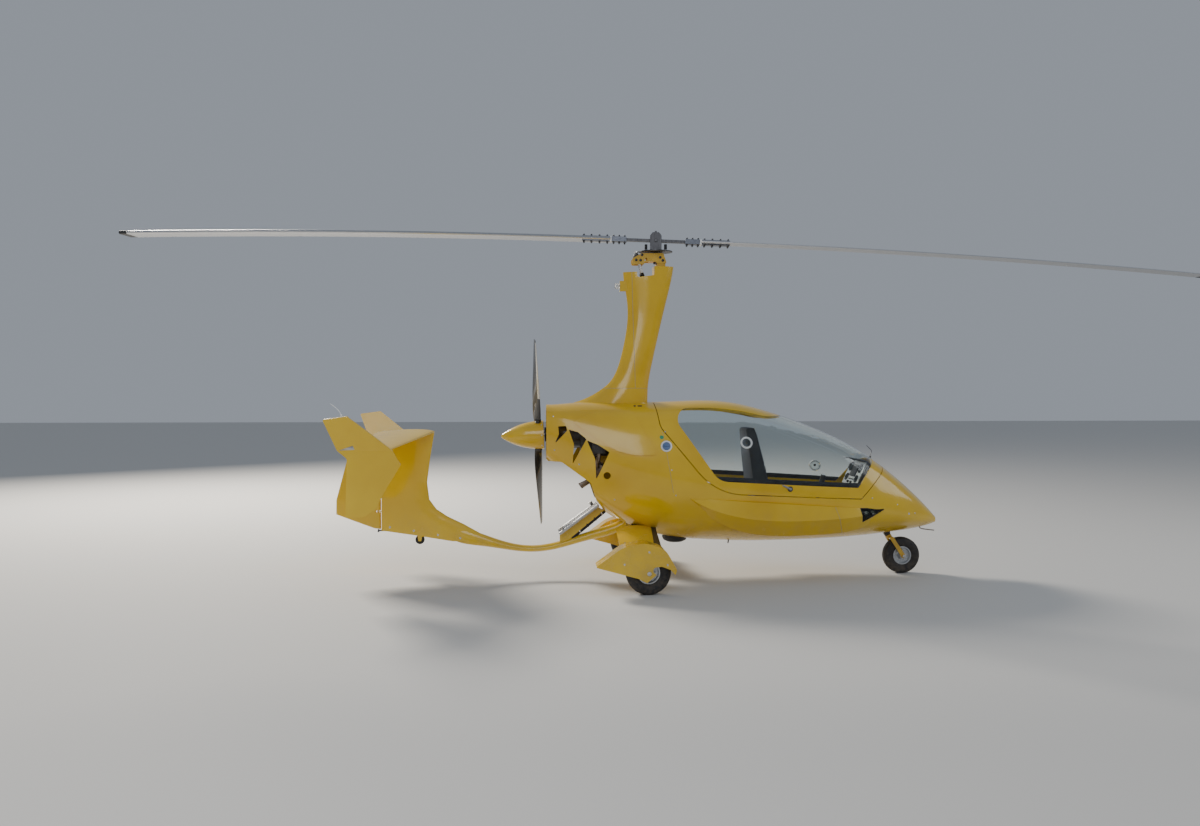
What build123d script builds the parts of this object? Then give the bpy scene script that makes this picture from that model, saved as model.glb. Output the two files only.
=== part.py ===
from build123d import *
import math
import os

# A two-seat tandem gyrocopter with an enclosed cabin, parked on its three wheels.
# Millimetres. +X is forward, +Y is the aircraft's left, +Z is up.
# The origin is on the ground straight below the rotor hub.

# Driving dimensions of the pod
WALL = 14.0                 # cabin and cowl skin with its stiffening
CANOPY_WALL = 20.0          # canopy frame
GLASS_THICK = 5.0
GLASS_INSET = 2.0           # the pane lies a little below the frame's outside
CANOPY_GAP = 6.0            # running gap round the canopy
SEAT_FIT = 0.3              # pieces of one body that lie against each other
RUN_FIT = 0.08              # a shaft in its bore, on the radius
FIREWALL_X = -75.0
FIREWALL_THICK = 18.0
FLOOR_TOP = 430.0
FLOOR_THICK = 12.0
BULKHEAD_X = 1960.0         # front end of the cabin's hollow

# Driving dimensions of the landing gear
MAIN_X = -146.0
MAIN_TRACK = 1600.0
MAIN_RADIUS = 170.0
MAIN_WIDTH = 128.0
NOSE_X = 2066.0
NOSE_RADIUS = 151.0
NOSE_WIDTH = 100.0
AXLE_RADIUS = 12.0
TAIL_WHEEL = (-1927.0, 0.0, 313.0)
TAIL_WHEEL_RADIUS = 37.0

# Driving dimensions of the rotor and its head
ROTOR_RADIUS = 4450.0
ROTOR_HEADING = -5.5        # degrees about +Z at rest
ROTOR_TEETER = 2.5          # degrees, forward blade down at rest
ROTOR_DROOP = 110.0         # how far the resting tips hang below the hub bar's line
HUB_Z = 2753.0
BLADE_CHORD = 215.0
BLADE_THICK = 26.0
BLADE_ROOT = 372.0
HUB_BAR = (364.0, 60.0, 22.0)   # half length, width, thickness
TEETER_PIN_RADIUS = 8.0
SPINDLE_RADIUS = 20.0

# Driving dimensions of the propeller
PROP_CENTRE = (-963.0, 0.0, 1164.0)
PROP_RADIUS = 820.0
PROP_TILT = 2.1             # degrees, the shaft's front end is the higher one
PROP_TURN = 22.0            # degrees about its shaft at rest
PROP_SHAFT_RADIUS = 24.0
SPINNER_RADIUS = 118.0
SPINNER_LENGTH = 345.0

# Driving dimensions of the tail
FIN_THICK = 58.0
RUDDER_HINGE_X = -2240.0
RUDDER_GAP = 6.0
TAIL_HALF_SPAN = 780.0
STABILIZER_TOP = 1205.0
STABILIZER_DROP = 100.0     # how far the tips lie below the middle
PLATE_THICK = 16.0

os.makedirs("parts", exist_ok=True)


def save(name, shape):
    """Writes one node, a solid or several that don't touch."""
    solids = shape.solids() if hasattr(shape, "solids") else shape
    export_step(Compound(children=list(solids)) if len(solids) > 1 else solids[0], f"parts/{name}.step")


def rounded_face(corners, plane=Plane.XZ):
    """A closed outline of straight runs; each corner is (u, v, radius) and its round is an arc."""
    count = len(corners)
    edges = []
    ends = []
    for i, (u, v, radius) in enumerate(corners):
        here = Vector(u, v)
        before = Vector(*corners[i - 1][:2]) - here
        after = Vector(*corners[(i + 1) % count][:2]) - here
        if radius <= 0:
            ends.append((here, here, None))
            continue
        to_before = before.normalized()
        to_after = after.normalized()
        half = math.acos(max(-1, min(1, to_before.dot(to_after)))) / 2
        reach = radius / math.tan(half)
        centre = here + (to_before + to_after).normalized() * (radius / math.sin(half))
        middle = centre + (here - centre).normalized() * radius
        ends.append((here + to_before * reach, here + to_after * reach, middle))
    for i, (start, finish, middle) in enumerate(ends):
        if middle is not None:
            edges.append(ThreePointArc(start, middle, finish))
        next_start = ends[(i + 1) % count][0]
        if (next_start - finish).length > 0.01:
            edges.append(Line(finish, next_start))
    return plane * make_face(Wire(edges))


def slab(corners, width, plane=Plane.XZ, at=0.0):
    """A rounded outline pulled to both sides of its plane, then moved along +Y by at."""
    body = extrude(rounded_face(corners, plane), amount=width / 2, both=True)
    return Pos(0, at, 0) * body


def mirrored(shape):
    """The same piece on the aircraft's left."""
    return mirror(shape, about=Plane.XZ)


def rod(start, end, radius):
    """A round bar from one point to another."""
    start = Vector(*start)
    way = Vector(*end) - start
    return Solid.make_cylinder(radius, way.length, Plane(origin=start, z_dir=way))


def box(x, y, z):
    """A box from three (low, high) pairs."""
    middle = [(low + high) / 2 for low, high in (x, y, z)]
    return Pos(*middle) * Box(x[1] - x[0], y[1] - y[0], z[1] - z[0])


# The pod

# Station, half width, height of the widest line, crown and keel
POD = (
    (-900, 185, 1195, 1414, 962),
    (-640, 285, 1085, 1430, 705),
    (-330, 362, 945, 1434, 478),
    (0, 398, 850, 1434, 350),
    (380, 412, 780, 1447, 301),
    (780, 410, 730, 1397, 286),
    (1180, 392, 680, 1273, 292),
    (1560, 350, 622, 1108, 309),
    (1880, 275, 560, 905, 338),
    (2150, 168, 505, 680, 373),
    (2352, 26, 449, 474, 424),
)
CROWN_SHARE = 1.15          # crown arc's radius, of the half width
SIDE_SHARE = 1.7            # side arc's radius, of the height
CORNER_SHARE = 0.55         # shoulder arc's radius, of the smaller of the two


def quarter(half_width, height, inset):
    """Points of three tangent arcs from the crown (0, height) down to the side (half_width, 0)."""
    crown_radius = CROWN_SHARE * half_width
    side_radius = SIDE_SHARE * height
    corner_radius = CORNER_SHARE * min(half_width, height)
    crown_centre = Vector(0, height - crown_radius)
    side_centre = Vector(half_width - side_radius, 0)
    apart = side_centre - crown_centre
    to_crown = crown_radius - corner_radius
    to_side = side_radius - corner_radius
    along = (to_crown**2 - to_side**2 + apart.length**2) / (2 * apart.length)
    across = math.sqrt(to_crown**2 - along**2)
    unit = apart.normalized()
    middle = crown_centre + unit * along
    sideways = Vector(-unit.Y, unit.X) * across
    centre = max(middle + sideways, middle - sideways, key=lambda p: p.X + p.Y)

    def on_arc(middle, radius, way):
        return middle + way.normalized() * (radius - inset)

    up = Vector(0, 1)
    out = Vector(1, 0)
    shoulder = (centre - crown_centre).normalized()
    hip = (centre - side_centre).normalized()
    return (
        on_arc(crown_centre, crown_radius, up),
        on_arc(crown_centre, crown_radius, up + shoulder),
        on_arc(crown_centre, crown_radius, shoulder),
        on_arc(centre, corner_radius, shoulder + hip),
        on_arc(side_centre, side_radius, hip),
        on_arc(side_centre, side_radius, hip + out),
        on_arc(side_centre, side_radius, out),
    )


def pod_section(station, inset):
    """The pod's outline at one station, drawn in by inset all round."""
    x, half_width, widest, crown, keel = station
    upper = [(p.X, widest + p.Y) for p in quarter(half_width, crown - widest, inset)]
    lower = [(p.X, widest - p.Y) for p in quarter(half_width, widest - keel, inset)]
    left = upper + lower[::-1][1:]
    right = [(-y, z) for y, z in left[::-1]]
    ring = left + right[1:]
    plane = Plane(origin=(x, 0, 0), x_dir=(0, 1, 0), z_dir=(1, 0, 0))
    arcs = [ThreePointArc(ring[i], ring[i + 1], ring[i + 2]) for i in range(0, len(ring) - 2, 2)]
    return plane * Wire(arcs)


def pod(inset=0.0, stations=POD):
    return Solid.make_loft([pod_section(station, inset) for station in stations])


HULL = pod()
INNER = pod(WALL, POD[:-1])

# The canopy opening's outline seen from the side; above the roof it is only a closing line
OPENING = (
    (-66, 1640, 0),
    (1, 1233, 150),
    (433, 710, 480),
    (1627, 652, 16),
    (2010, 1035, 0),
    (1600, 1640, 0),
)
# The window's outline seen from the side, and the roof tongue's from above
WINDOW = (
    (60, 1388, 95),
    (460, 809, 150),
    (1601, 745, 12),
    (1850, 1062, 0),
    (1850, 1640, 0),
    (420, 1640, 0),
    (420, 1388, 0),
)
TONGUE_TIP = 1030.0
TONGUE_HALF = 212.0


def shrunk(corners, gap):
    """The same outline drawn in by gap."""
    face = rounded_face(corners)
    return extrude(offset(face, -gap, kind=Kind.INTERSECTION), amount=700, both=True)


def window_zone(gap=0.0):
    """What the window takes out of the canopy: the side outline less the roof tongue."""
    half = TONGUE_HALF + gap
    tip = TONGUE_TIP + gap
    tongue = box((-200, tip - half), (-half, half), (1000, 1700))
    tongue += Pos(tip - half, 0, 1350) * Cylinder(half, 700)
    return shrunk(WINDOW, gap) - tongue


# The cowl's region seen from the side, ahead of it the tub; and its open lower rear edge
COWL_ZONE = (
    (-1000, 1700, 0),
    (100, 1700, 0),
    (8, 1228, 0),
    (98, 690, 60),
    (106, 560, 0),
    (-1000, 560, 0),
)
COWL_SIDE = (
    (-1000, 1700, 0),
    (-1000, 955, 0),
    (-779, 955, 60),
    (-548, 790, 60),
    (-498, 640, 40),
    (-430, 556, 0),
    (300, 556, 0),
    (300, 1700, 0),
)
TRAY_END = -440.0
GILLS = (
    ((-806, 1240, 4), (-742, 1244, 8), (-736, 1205, 8), (-834, 1102, 3), (-800, 1180, 30)),
    ((-722, 1216, 4), (-650, 1196, 10), (-584, 1142, 6), (-692, 938, 3), (-682, 1100, 40)),
    ((-580, 1132, 4), (-495, 1098, 12), (-404, 1040, 8), (-506, 820, 4), (-516, 985, 40)),
)
VENT = (-422, 854, 28)


def zone(corners, width=1600):
    return slab(corners, width)


def skins():
    """Tub, cowl, canopy frame and pane, all cut from one skin."""
    hollow = INNER & box((-1000, BULKHEAD_X), (-600, 600), (200, 1700))
    skin = HULL - hollow
    shell = skin - zone(OPENING)
    cowl_zone = zone(COWL_ZONE)
    tub = (shell - cowl_zone) & box((TRAY_END, 2500), (-700, 700), (100, 1800))
    cowl = (shell & cowl_zone) & zone(COWL_SIDE)
    for leaf in GILLS:
        cowl -= zone(leaf)
    x, z, radius = VENT
    cowl -= Pos(x, 0, z) * Rot(90, 0, 0) * Cylinder(radius, 1600)
    frame_skin = HULL - pod(CANOPY_WALL, POD[:-1])
    frame = (frame_skin & shrunk(OPENING, CANOPY_GAP)) - window_zone()
    pane_skin = pod(GLASS_INSET, POD[:-1]) - pod(GLASS_INSET + GLASS_THICK, POD[:-1])
    pane = pane_skin & window_zone(SEAT_FIT)
    return tub, cowl, frame, pane


def blister(side):
    """The long fairing low on each flank, with the dark lamp let into its front end."""
    stations = (
        # station, outer face, upper edge, crease, lower edge
        (230, 404, 690, 676, 655),
        (480, 446, 662, 562, 470),
        (800, 462, 640, 505, 380),
        (1160, 446, 616, 496, 372),
        (1560, 388, 588, 516, 400),
        (1820, 300, 578, 566, 540),
    )
    rings = []
    for x, out, top, crease, low in stations:
        plane = Plane(origin=(x, 0, 0), x_dir=(0, 1, 0), z_dir=(1, 0, 0))
        inner = out - 120
        points = [(inner, top), (out - 30, top), (out, crease), (out - 70, low), (inner, low)]
        rings.append(plane * Wire(Polyline(*points, close=True).edges()))
    body = Solid.make_loft(rings) - HULL
    body = max(body.solids(), key=lambda s: s.volume)
    return body if side > 0 else mirrored(body)


def lens(chord, thick, tail=3.0, share=0.32):
    """A symmetric streamlined section, nose at 0 and tail at +chord along u."""
    peak = share * chord
    rise = thick / 2 - tail / 2
    run = chord - peak
    radius = (run**2 + rise**2) / (2 * rise)
    half_turn = math.atan2(run, radius - rise) / 2
    centre_v = thick / 2 - radius
    mid = (peak + radius * math.sin(half_turn), centre_v + radius * math.cos(half_turn))
    top = ThreePointArc((peak, thick / 2), mid, (chord, tail / 2))
    back = Line((chord, tail / 2), (chord, -tail / 2))
    bottom = ThreePointArc((chord, -tail / 2), (mid[0], -mid[1]), (peak, -thick / 2))
    nose = EllipticalCenterArc((peak, 0), peak, thick / 2, 90, arc_size=180)
    return Wire([top, back, bottom, nose])


def lens_at(nose, chord, thick, normal, aft=(-1, 0, 0), **kw):
    """The section with its nose at a point, its chord running aft."""
    return Plane(origin=nose, x_dir=aft, z_dir=normal) * lens(chord, thick, **kw)


# The mast: height, front edge, rear edge, width across
MAST = (
    (1545, -64, -436, 150),
    (1650, -50, -341, 148),
    (1830, -12, -279, 146),
    (2100, 49, -233, 144),
    (2330, 105, -247, 150),
    (2540, 146, -264, 158),
)
MAST_FOOT = (
    (1395, -62, -900, 210),
    (1470, -66, -560, 172),
    (1544.7, -64, -436, 150),
)


def mast_loft(table):
    return Solid.make_loft([
        lens_at((front, 0, z), front - rear, width, (0, 0, 1), tail=12.0, share=0.45)
        for z, front, rear, width in table
    ])


MAST_TOP = 2540.0
MAST_NOTCH = ((-158, 2600, 0), (-20, 2600, 0), (-20, 2466, 14), (-158, 2450, 14))
MAST_REAR_TOP = 2495.0
BEACON_Z = 2381.0


def mast():
    """The mast's fairing with its notch for the control rods and the bracket of the rear light."""
    body = mast_loft(MAST) - slab(MAST_NOTCH, 400)
    body -= box((-400, -100), (-200, 200), (MAST_REAR_TOP, 2600))
    body += box((-296, -200), (-18, 18), (BEACON_Z - 42, BEACON_Z + 42))
    return body


def mast_foot():
    return mast_loft(MAST_FOOT) - HULL


def main_gear():
    """Leaf spring through the belly, its fairings, axle plates, fenders and wheels."""
    out = MAIN_TRACK / 2
    leaf_line = (
        (-LEAF_END, 298, 0), (-140, 424, 260), (140, 424, 260), (LEAF_END, 298, 0),
        (LEAF_END, 322, 0), (140, 448, 260), (-140, 448, 260), (-LEAF_END, 322, 0),
    )
    across = Plane.YZ.offset((LEAF_X[0] + LEAF_X[1]) / 2)
    leaf = slab(leaf_line, LEAF_X[1] - LEAF_X[0], across)
    fairings = axles = fenders = None
    for side in (-1, 1):
        root = lens_at((-58, side * 225, 423), 290, 46, (0, 1, 0), share=0.4)
        tip = lens_at((-66, side * (out - 112), 310), 276, 44, (0, 1, 0), share=0.4)
        fairing = Solid.make_loft([root, tip], True) - leaf - HULL
        plate = slab(AXLE_PLATE, AXLE_PLATE_THICK, at=side * AXLE_PLATE_AT)
        plate += rod((MAIN_X, side * AXLE_PLATE_AT, MAIN_RADIUS), (MAIN_X, side * (out + 104), MAIN_RADIUS), AXLE_RADIUS)
        fender = fender_body(side)
        fairings = fairing if fairings is None else fairings + fairing
        axles = plate if axles is None else axles + plate
        fenders = fender if fenders is None else fenders + fender
    return leaf, fairings, axles, fenders


LEAF_X = (-212.0, -26.0)
AXLE_PLATE_AT = MAIN_TRACK / 2 - 101
AXLE_PLATE_THICK = 16.0
LEAF_END = AXLE_PLATE_AT - AXLE_PLATE_THICK / 2 - SEAT_FIT
AXLE_PLATE = ((-205, 345, 6), (-95, 345, 6), (-118, 150, 20), (-174, 150, 20))
FENDER = (
    (-545, 219, 6), (-335, 372, 260), (-170, 398, 170), (-25, 350, 130), (62, 196, 30), (50, 156, 4),
    (14, 196, 30), (-52, 222, 40), (-116, 214, 22), (-116, 180, 14), (-92, 162, 6), (-162, 100, 10),
    (-225, 132, 60),
)
FENDER_FACES = (-90.0, 96.0)    # inner and outer face, from the wheel's middle
FENDER_SKIN = 10.0
TYRE_ROOM = 14.0


def fender_body(side):
    """A mudguard over one main wheel, hollow round the tyre, its outer wall carried by the axle's end."""
    inner, outer = FENDER_FACES
    width = outer - inner
    body = slab(FENDER, width, at=(inner + outer) / 2)
    hollow = Pos(MAIN_X, (inner + outer) / 2, MAIN_RADIUS) * Rot(90, 0, 0) * Cylinder(
        MAIN_RADIUS + TYRE_ROOM, width - 2 * FENDER_SKIN)
    hollow += box((MAIN_X - MAIN_RADIUS - TYRE_ROOM, MAIN_X + MAIN_RADIUS + TYRE_ROOM),
                  (inner + FENDER_SKIN, outer - FENDER_SKIN), (0, MAIN_RADIUS))
    hole = Pos(MAIN_X, 0, MAIN_RADIUS) * Rot(90, 0, 0) * Cylinder(AXLE_RADIUS + SEAT_FIT, 400)
    body = Pos(0, MAIN_TRACK / 2, 0) * (body - hollow - hole)
    return body if side > 0 else mirrored(body)


# A tyre's outline: share of the half width, share of the height between rim and tread
TYRE = ((0.76, 0.0), (0.98, 0.26), (1.0, 0.5), (0.93, 0.78), (0.74, 0.93), (0.4, 1.0))


def tyre(radius, width, seat):
    """A plain tyre turned about the axle, its middle at the origin."""
    near = [(share * width / 2, seat + rise * (radius - seat)) for share, rise in TYRE]
    far = [(-y, z) for y, z in near[::-1]]
    return turned(near + far)


def turned(profile):
    """An outline of (across, radius) turned about the Y axis."""
    plane = Plane(origin=(0, 0, 0), x_dir=(0, 1, 0), z_dir=(1, 0, 0))
    return revolve(plane * make_face(Polyline(*profile, close=True)), Axis.Y)


def rim(radius, width, bore, hub_half):
    """A dished rim with its hub, turned about the axle."""
    half = width / 2
    profile = (
        (-hub_half, bore), (-hub_half, bore + 16), (-8, bore + 22), (-8, radius - 12), (-half, radius - 9),
        (-half, radius), (half, radius), (half, radius - 9), (8, radius - 12), (8, bore + 22),
        (hub_half, bore + 16), (hub_half, bore),
    )
    return turned(profile)


# The nose gear: its raked steering axis passes through the wheel's middle
NOSE_RAKE = 33.0
NOSE_UP = Vector(-math.sin(math.radians(NOSE_RAKE)), 0, math.cos(math.radians(NOSE_RAKE)))
NOSE_CENTRE = Vector(NOSE_X, 0, NOSE_RADIUS)
STEERER_RADIUS = 16.0
CROWN_AT = 176.0            # from the axle up the steering axis
SLEEVE = (206.0, 400.0, 27.0)   # from, to and outer radius, up the same axis
FORK_HALF = 64.0
FORK_PLATE = 10.0
TOW_PIN = 22.0              # the axle's thinner free ends, for a tow bar
TOW_PIN_RADIUS = 10.0


def up_axis(distance, y=0.0):
    point = NOSE_CENTRE + NOSE_UP * distance
    return (point.X, y, point.Z)


def nose_gear():
    """Fork with its steerer, and the sleeve in the belly that it turns in."""
    fork = rod(up_axis(CROWN_AT, -FORK_HALF), up_axis(CROWN_AT, FORK_HALF), 14)
    fork += rod(up_axis(CROWN_AT), up_axis(SLEEVE[1] - 10), STEERER_RADIUS)
    fork += rod(up_axis(CROWN_AT), up_axis(SLEEVE[0] - 4), STEERER_RADIUS + 7)
    for side in (-1, 1):
        at = Plane(origin=(NOSE_X, side * FORK_HALF, NOSE_RADIUS), x_dir=(NOSE_UP.X, 0, NOSE_UP.Z), z_dir=(0, -1, 0))
        leg = rounded_face(((-20, -18, 16), (CROWN_AT + 12, -15, 12), (CROWN_AT + 12, 15, 12), (-20, 18, 16)), at)
        fork += extrude(leg, amount=FORK_PLATE / 2, both=True)
    fork += rod((NOSE_X, -FORK_HALF, NOSE_RADIUS), (NOSE_X, FORK_HALF, NOSE_RADIUS), AXLE_RADIUS)
    reach = FORK_HALF + FORK_PLATE / 2 + TOW_PIN
    fork += rod((NOSE_X, -reach, NOSE_RADIUS), (NOSE_X, reach, NOSE_RADIUS), TOW_PIN_RADIUS)
    start, end, outer = SLEEVE
    sleeve = rod(up_axis(start), up_axis(end), outer) - rod(up_axis(start - 5), up_axis(end + 5), STEERER_RADIUS + RUN_FIT)
    return fork, sleeve


def tail_wheel_room():
    """The slot in the fin's keel that the small wheel turns in."""
    x, y, z = TAIL_WHEEL
    reach = TAIL_WHEEL_RADIUS + 6
    return box((x - reach, x + reach), (-17, 17), (z - 80, z + reach))


def tail_wheel():
    x, y, z = TAIL_WHEEL
    bracket = slab(((x - 22, z + 60, 4), (x + 26, z + 60, 4), (x + 12, z - 12, 10), (x - 12, z - 12, 10)), 44)
    bracket -= tail_wheel_room()
    bracket += rod((x, -24, z), (x, 24, z), 5)
    section = ((-11, 5 + RUN_FIT), (-11, 33), (-7, 37), (7, 37), (11, 33), (11, 5 + RUN_FIT))
    return bracket, Pos(x, y, z) * turned(section)


# Tail boom: station, height of its middle, height and width of the section
BOOM = (
    (-250, 446, 82, 92),
    (-480, 352, 78, 90),
    (-720, 282, 62, 84),
    (-980, 232, 54, 78),
    (-1240, 260, 66, 74),
    (-1450, 312, 108, 66),
    (-1640, 362, 128, 56),
)
# Fin: height, leading edge; the trailing edge is at the rudder's gap
FIN = (
    (300, -1330),
    (440, -1578),
    (500, -1702),
    (560, -1792),
    (640, -1850),
    (780, -1868),
    (980, -1842),
    (1200, -1806),
)
FIN_KEEL = ((-1300, 1184, 0), (-1300, 262, 0), (-1594, 289, 0), (-1965, 351, 0), (-2400, 416, 0), (-2400, 1184, 0))
# Rudder: height and trailing edge
RUDDER = ((380, -2560), (505, -2600), (640, -2598), (900, -2528), (1140, -2462))
RUDDER_KEEL = ((-2200, 1300, 0), (-2200, 398, 0), (-2290, 410, 20), (-2700, 560, 0), (-2700, 1300, 0))
RUDDER_NOSE = 22.0
HINGE_HEIGHTS = (545.0, 1050.0)
HINGE_PIN = 5.0
HINGE_PLATE = 6.0


def boom_and_fin():
    """The tail moulding: a slim boom that turns up into the fin."""
    rings = []
    for x, z, height, width in BOOM:
        plane = Plane(origin=(x, 0, z), x_dir=(0, 1, 0), z_dir=(1, 0, 0))
        rings.append(plane * Wire.make_ellipse(width / 2, height / 2))
    boom = Solid.make_loft(rings)
    tail = RUDDER_HINGE_X + RUDDER_GAP
    fin = Solid.make_loft([lens_at((x, 0, z), x - tail, FIN_THICK, (0, 0, 1), tail=44.0) for z, x in FIN], True)
    fin = (fin & zone(FIN_KEEL)) - tail_wheel_room()
    return boom, fin


def rudder():
    axis_x = RUDDER_HINGE_X - RUDDER_NOSE
    body = Solid.make_loft([
        lens_at((RUDDER_HINGE_X, 0, z), RUDDER_HINGE_X - x, 2 * RUDDER_NOSE, (0, 0, 1),
                share=RUDDER_NOSE / (RUDDER_HINGE_X - x))
        for z, x in RUDDER
    ], True) & zone(RUDDER_KEEL)
    plates = None
    for z in HINGE_HEIGHTS:
        body -= Pos(axis_x, 0, z) * Cylinder(RUDDER_NOSE + 8, HINGE_PLATE + 10)
        body += Pos(axis_x, 0, z) * Cylinder(HINGE_PIN, HINGE_PLATE + 30)
        plate = box((axis_x, RUDDER_HINGE_X + RUDDER_GAP + 20), (-12, 12), (z - HINGE_PLATE / 2, z + HINGE_PLATE / 2))
        plate += Pos(axis_x, 0, z) * Cylinder(12, HINGE_PLATE)
        plate -= Pos(axis_x, 0, z) * Cylinder(HINGE_PIN + RUN_FIT, HINGE_PLATE * 3)
        plates = plate if plates is None else plates + plate
    return body, plates


def stabilizer():
    low = STABILIZER_TOP - STABILIZER_DROP
    halves = None
    for side in (-1, 1):
        root = lens_at((-1806, 0, STABILIZER_TOP - 14), 452, 44, (0, 1, 0), share=0.35)
        tip = lens_at((-2052, side * (TAIL_HALF_SPAN - 8), low - 12), 350, 30, (0, 1, 0), share=0.35)
        half = Solid.make_loft([root, tip], True)
        halves = half if halves is None else halves + half
    return halves


PLATE_FOLD = 1085.0
PLATE_UPPER = ((-2446, 0, 0), (-2540, 240, 10), (-2362, 264, 10), (-2188, 122, 0), (-2042, 0, 0))
PLATE_LOWER = (
    (-2446, 0, 0), (-2042, 0, 0), (-1984, -108, 14), (-2112, -320, 0), (-2170, -434, 60), (-2262, -502, 60),
    (-2398, -502, 16), (-2376, -60, 30),
)
PLATE_CANT = (15.0, 6.0)    # the upper part leans outward, the lower part inward


def end_plates():
    """Two folded fins on the stabilizer's tips."""
    plates = None
    for side in (-1, 1):
        pair = None
        for outline, cant in ((PLATE_UPPER, PLATE_CANT[0]), (PLATE_LOWER, PLATE_CANT[1])):
            lean = math.radians(cant)
            up = (0, side * math.sin(lean), math.cos(lean))
            plane = Plane(origin=(0, side * TAIL_HALF_SPAN, PLATE_FOLD), x_dir=(1, 0, 0),
                          z_dir=(0, -math.cos(lean), side * math.sin(lean)))
            part = extrude(rounded_face(outline, plane), amount=PLATE_THICK / 2, both=True)
            pair = part if pair is None else pair + part
        plates = pair if plates is None else plates + pair
    return plates


# The strut's upper edge seen from the side, from its foot to the cowl; the radiator lies on it
STRUT_EDGE = ((-790.0, 351.0), (-455.0, 595.0))
RADIATOR_THICK = 25.0


def strut_and_cooling(boom):
    """The strut from the cowl's lip down to the boom, the radiator on it and the hoses below it."""
    foot, head = (Vector(*end) for end in STRUT_EDGE)
    up_slope = (head - foot).normalized()
    off = Vector(-up_slope.Y, up_slope.X)
    strut = slab(((foot.X, foot.Y, 0), (head.X, head.Y, 0), (-424, 542, 0), (-720, 300, 0), (-790, 250, 0)), 56)
    strut = strut - boom - HULL
    strut = max(strut.solids(), key=lambda s: s.volume)
    band = (foot + off * SEAT_FIT, head - up_slope * 14 + off * SEAT_FIT)
    outer = [end + off * RADIATOR_THICK for end in band]
    radiator = slab([(p.X, p.Y, 4) for p in (outer[0], outer[1], band[1], band[0])], 240)
    radiator = radiator - HULL - strut - boom
    hoses = rod((-398, -17, 555), (-690, -17, 316), 14) + rod((-398, 17, 555), (-690, 17, 316), 14)
    hoses = hoses - strut - boom - HULL
    hoses = [h for h in hoses.solids() if h.volume > 20000]
    return strut, radiator, Compound(children=hoses)


# The propeller's own frame, its round blade roots, and its blade: radius, chord, thickness, pitch in degrees
PROP = Pos(*PROP_CENTRE) * Rot(0, -PROP_TILT, 0)
PROP_ROOT_RADIUS = 26.0
PROP_ROOT_AT = 66.0
PROP_BLADE = ((118, 62, 30, 58), (230, 92, 20, 42), (450, 104, 13, 27), (660, 84, 9, 19), (PROP_RADIUS, 46, 5, 15))

# The engine's outline seen from the side, and its width
ENGINE_WIDTH = 330.0
ENGINE = (
    (-852, 1270, 20), (-852, 1010, 20), (-770, 990, 40), (-672, 940, 40), (-598, 868, 40), (-552, 786, 30),
    (-508, 684, 30), (-420, 602, 30), (-300, 560, 30), (-93.3, 600, 0), (-93.3, 1180, 0), (-360, 1330, 30),
    (-780, 1330, 30),
)


def engine():
    """The engine as one plain block, with the reduction gear's nose and the propeller shaft."""
    block = slab(ENGINE, ENGINE_WIDTH) & pod(WALL + 14, POD[:-1])
    return block + PROP * (rod((50, 0, 0), (130, 0, 0), 62) + rod((-60, 0, 0), (60, 0, 0), PROP_SHAFT_RADIUS))


def propeller():
    """Hub with its spinner, and two twisted blades; the shaft runs along local X, forward is +X."""
    base = 42.0
    tip = base - SPINNER_LENGTH
    spinner = revolve(make_face([
        Line((base, 0), (base, SPINNER_RADIUS)),
        Line((base, SPINNER_RADIUS), (-20, SPINNER_RADIUS - 4)),
        ThreePointArc((-20, SPINNER_RADIUS - 4), (-175, 80), (tip + 8, 17)),
        Line((tip + 8, 17), (tip, 8)),
        Line((tip, 8), (tip, 0)),
        Line((tip, 0), (base, 0)),
    ]), Axis.X)
    spinner -= rod((-75, 0, 0), (60, 0, 0), PROP_SHAFT_RADIUS + RUN_FIT)
    rings = []
    for radius, chord, thick, pitch in PROP_BLADE:
        lean = math.radians(pitch)
        plane = Plane(origin=(0, 0, radius), x_dir=(-math.sin(lean), math.cos(lean), 0), z_dir=(0, 0, 1))
        rings.append(plane * Pos(-chord * 0.38, 0, 0) * lens(chord, thick, tail=2.0, share=0.3))
    blade = Solid.make_loft(rings)
    blade += rod((0, 0, PROP_ROOT_AT + SEAT_FIT), (0, 0, PROP_ROOT_AT + 72), PROP_ROOT_RADIUS)
    blades = blade + Rot(180, 0, 0) * blade
    for way in (-1, 1):
        spinner -= rod((0, 0, way * PROP_ROOT_AT), (0, 0, way * 2 * SPINNER_RADIUS), PROP_ROOT_RADIUS + SEAT_FIT)
    turn = Rot(PROP_TURN, 0, 0)
    return PROP * turn * spinner, PROP * turn * blades


# The rotor's own frame: origin at the teeter pin, +X along the forward blade
ROTOR = Pos(0, 0, HUB_Z) * Rot(0, 0, ROTOR_HEADING)
ROTOR_TILTED = ROTOR * Rot(0, ROTOR_TEETER, 0)
CHEEK_HALF = 36.0
CHEEK_THICK = 12.0


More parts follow.
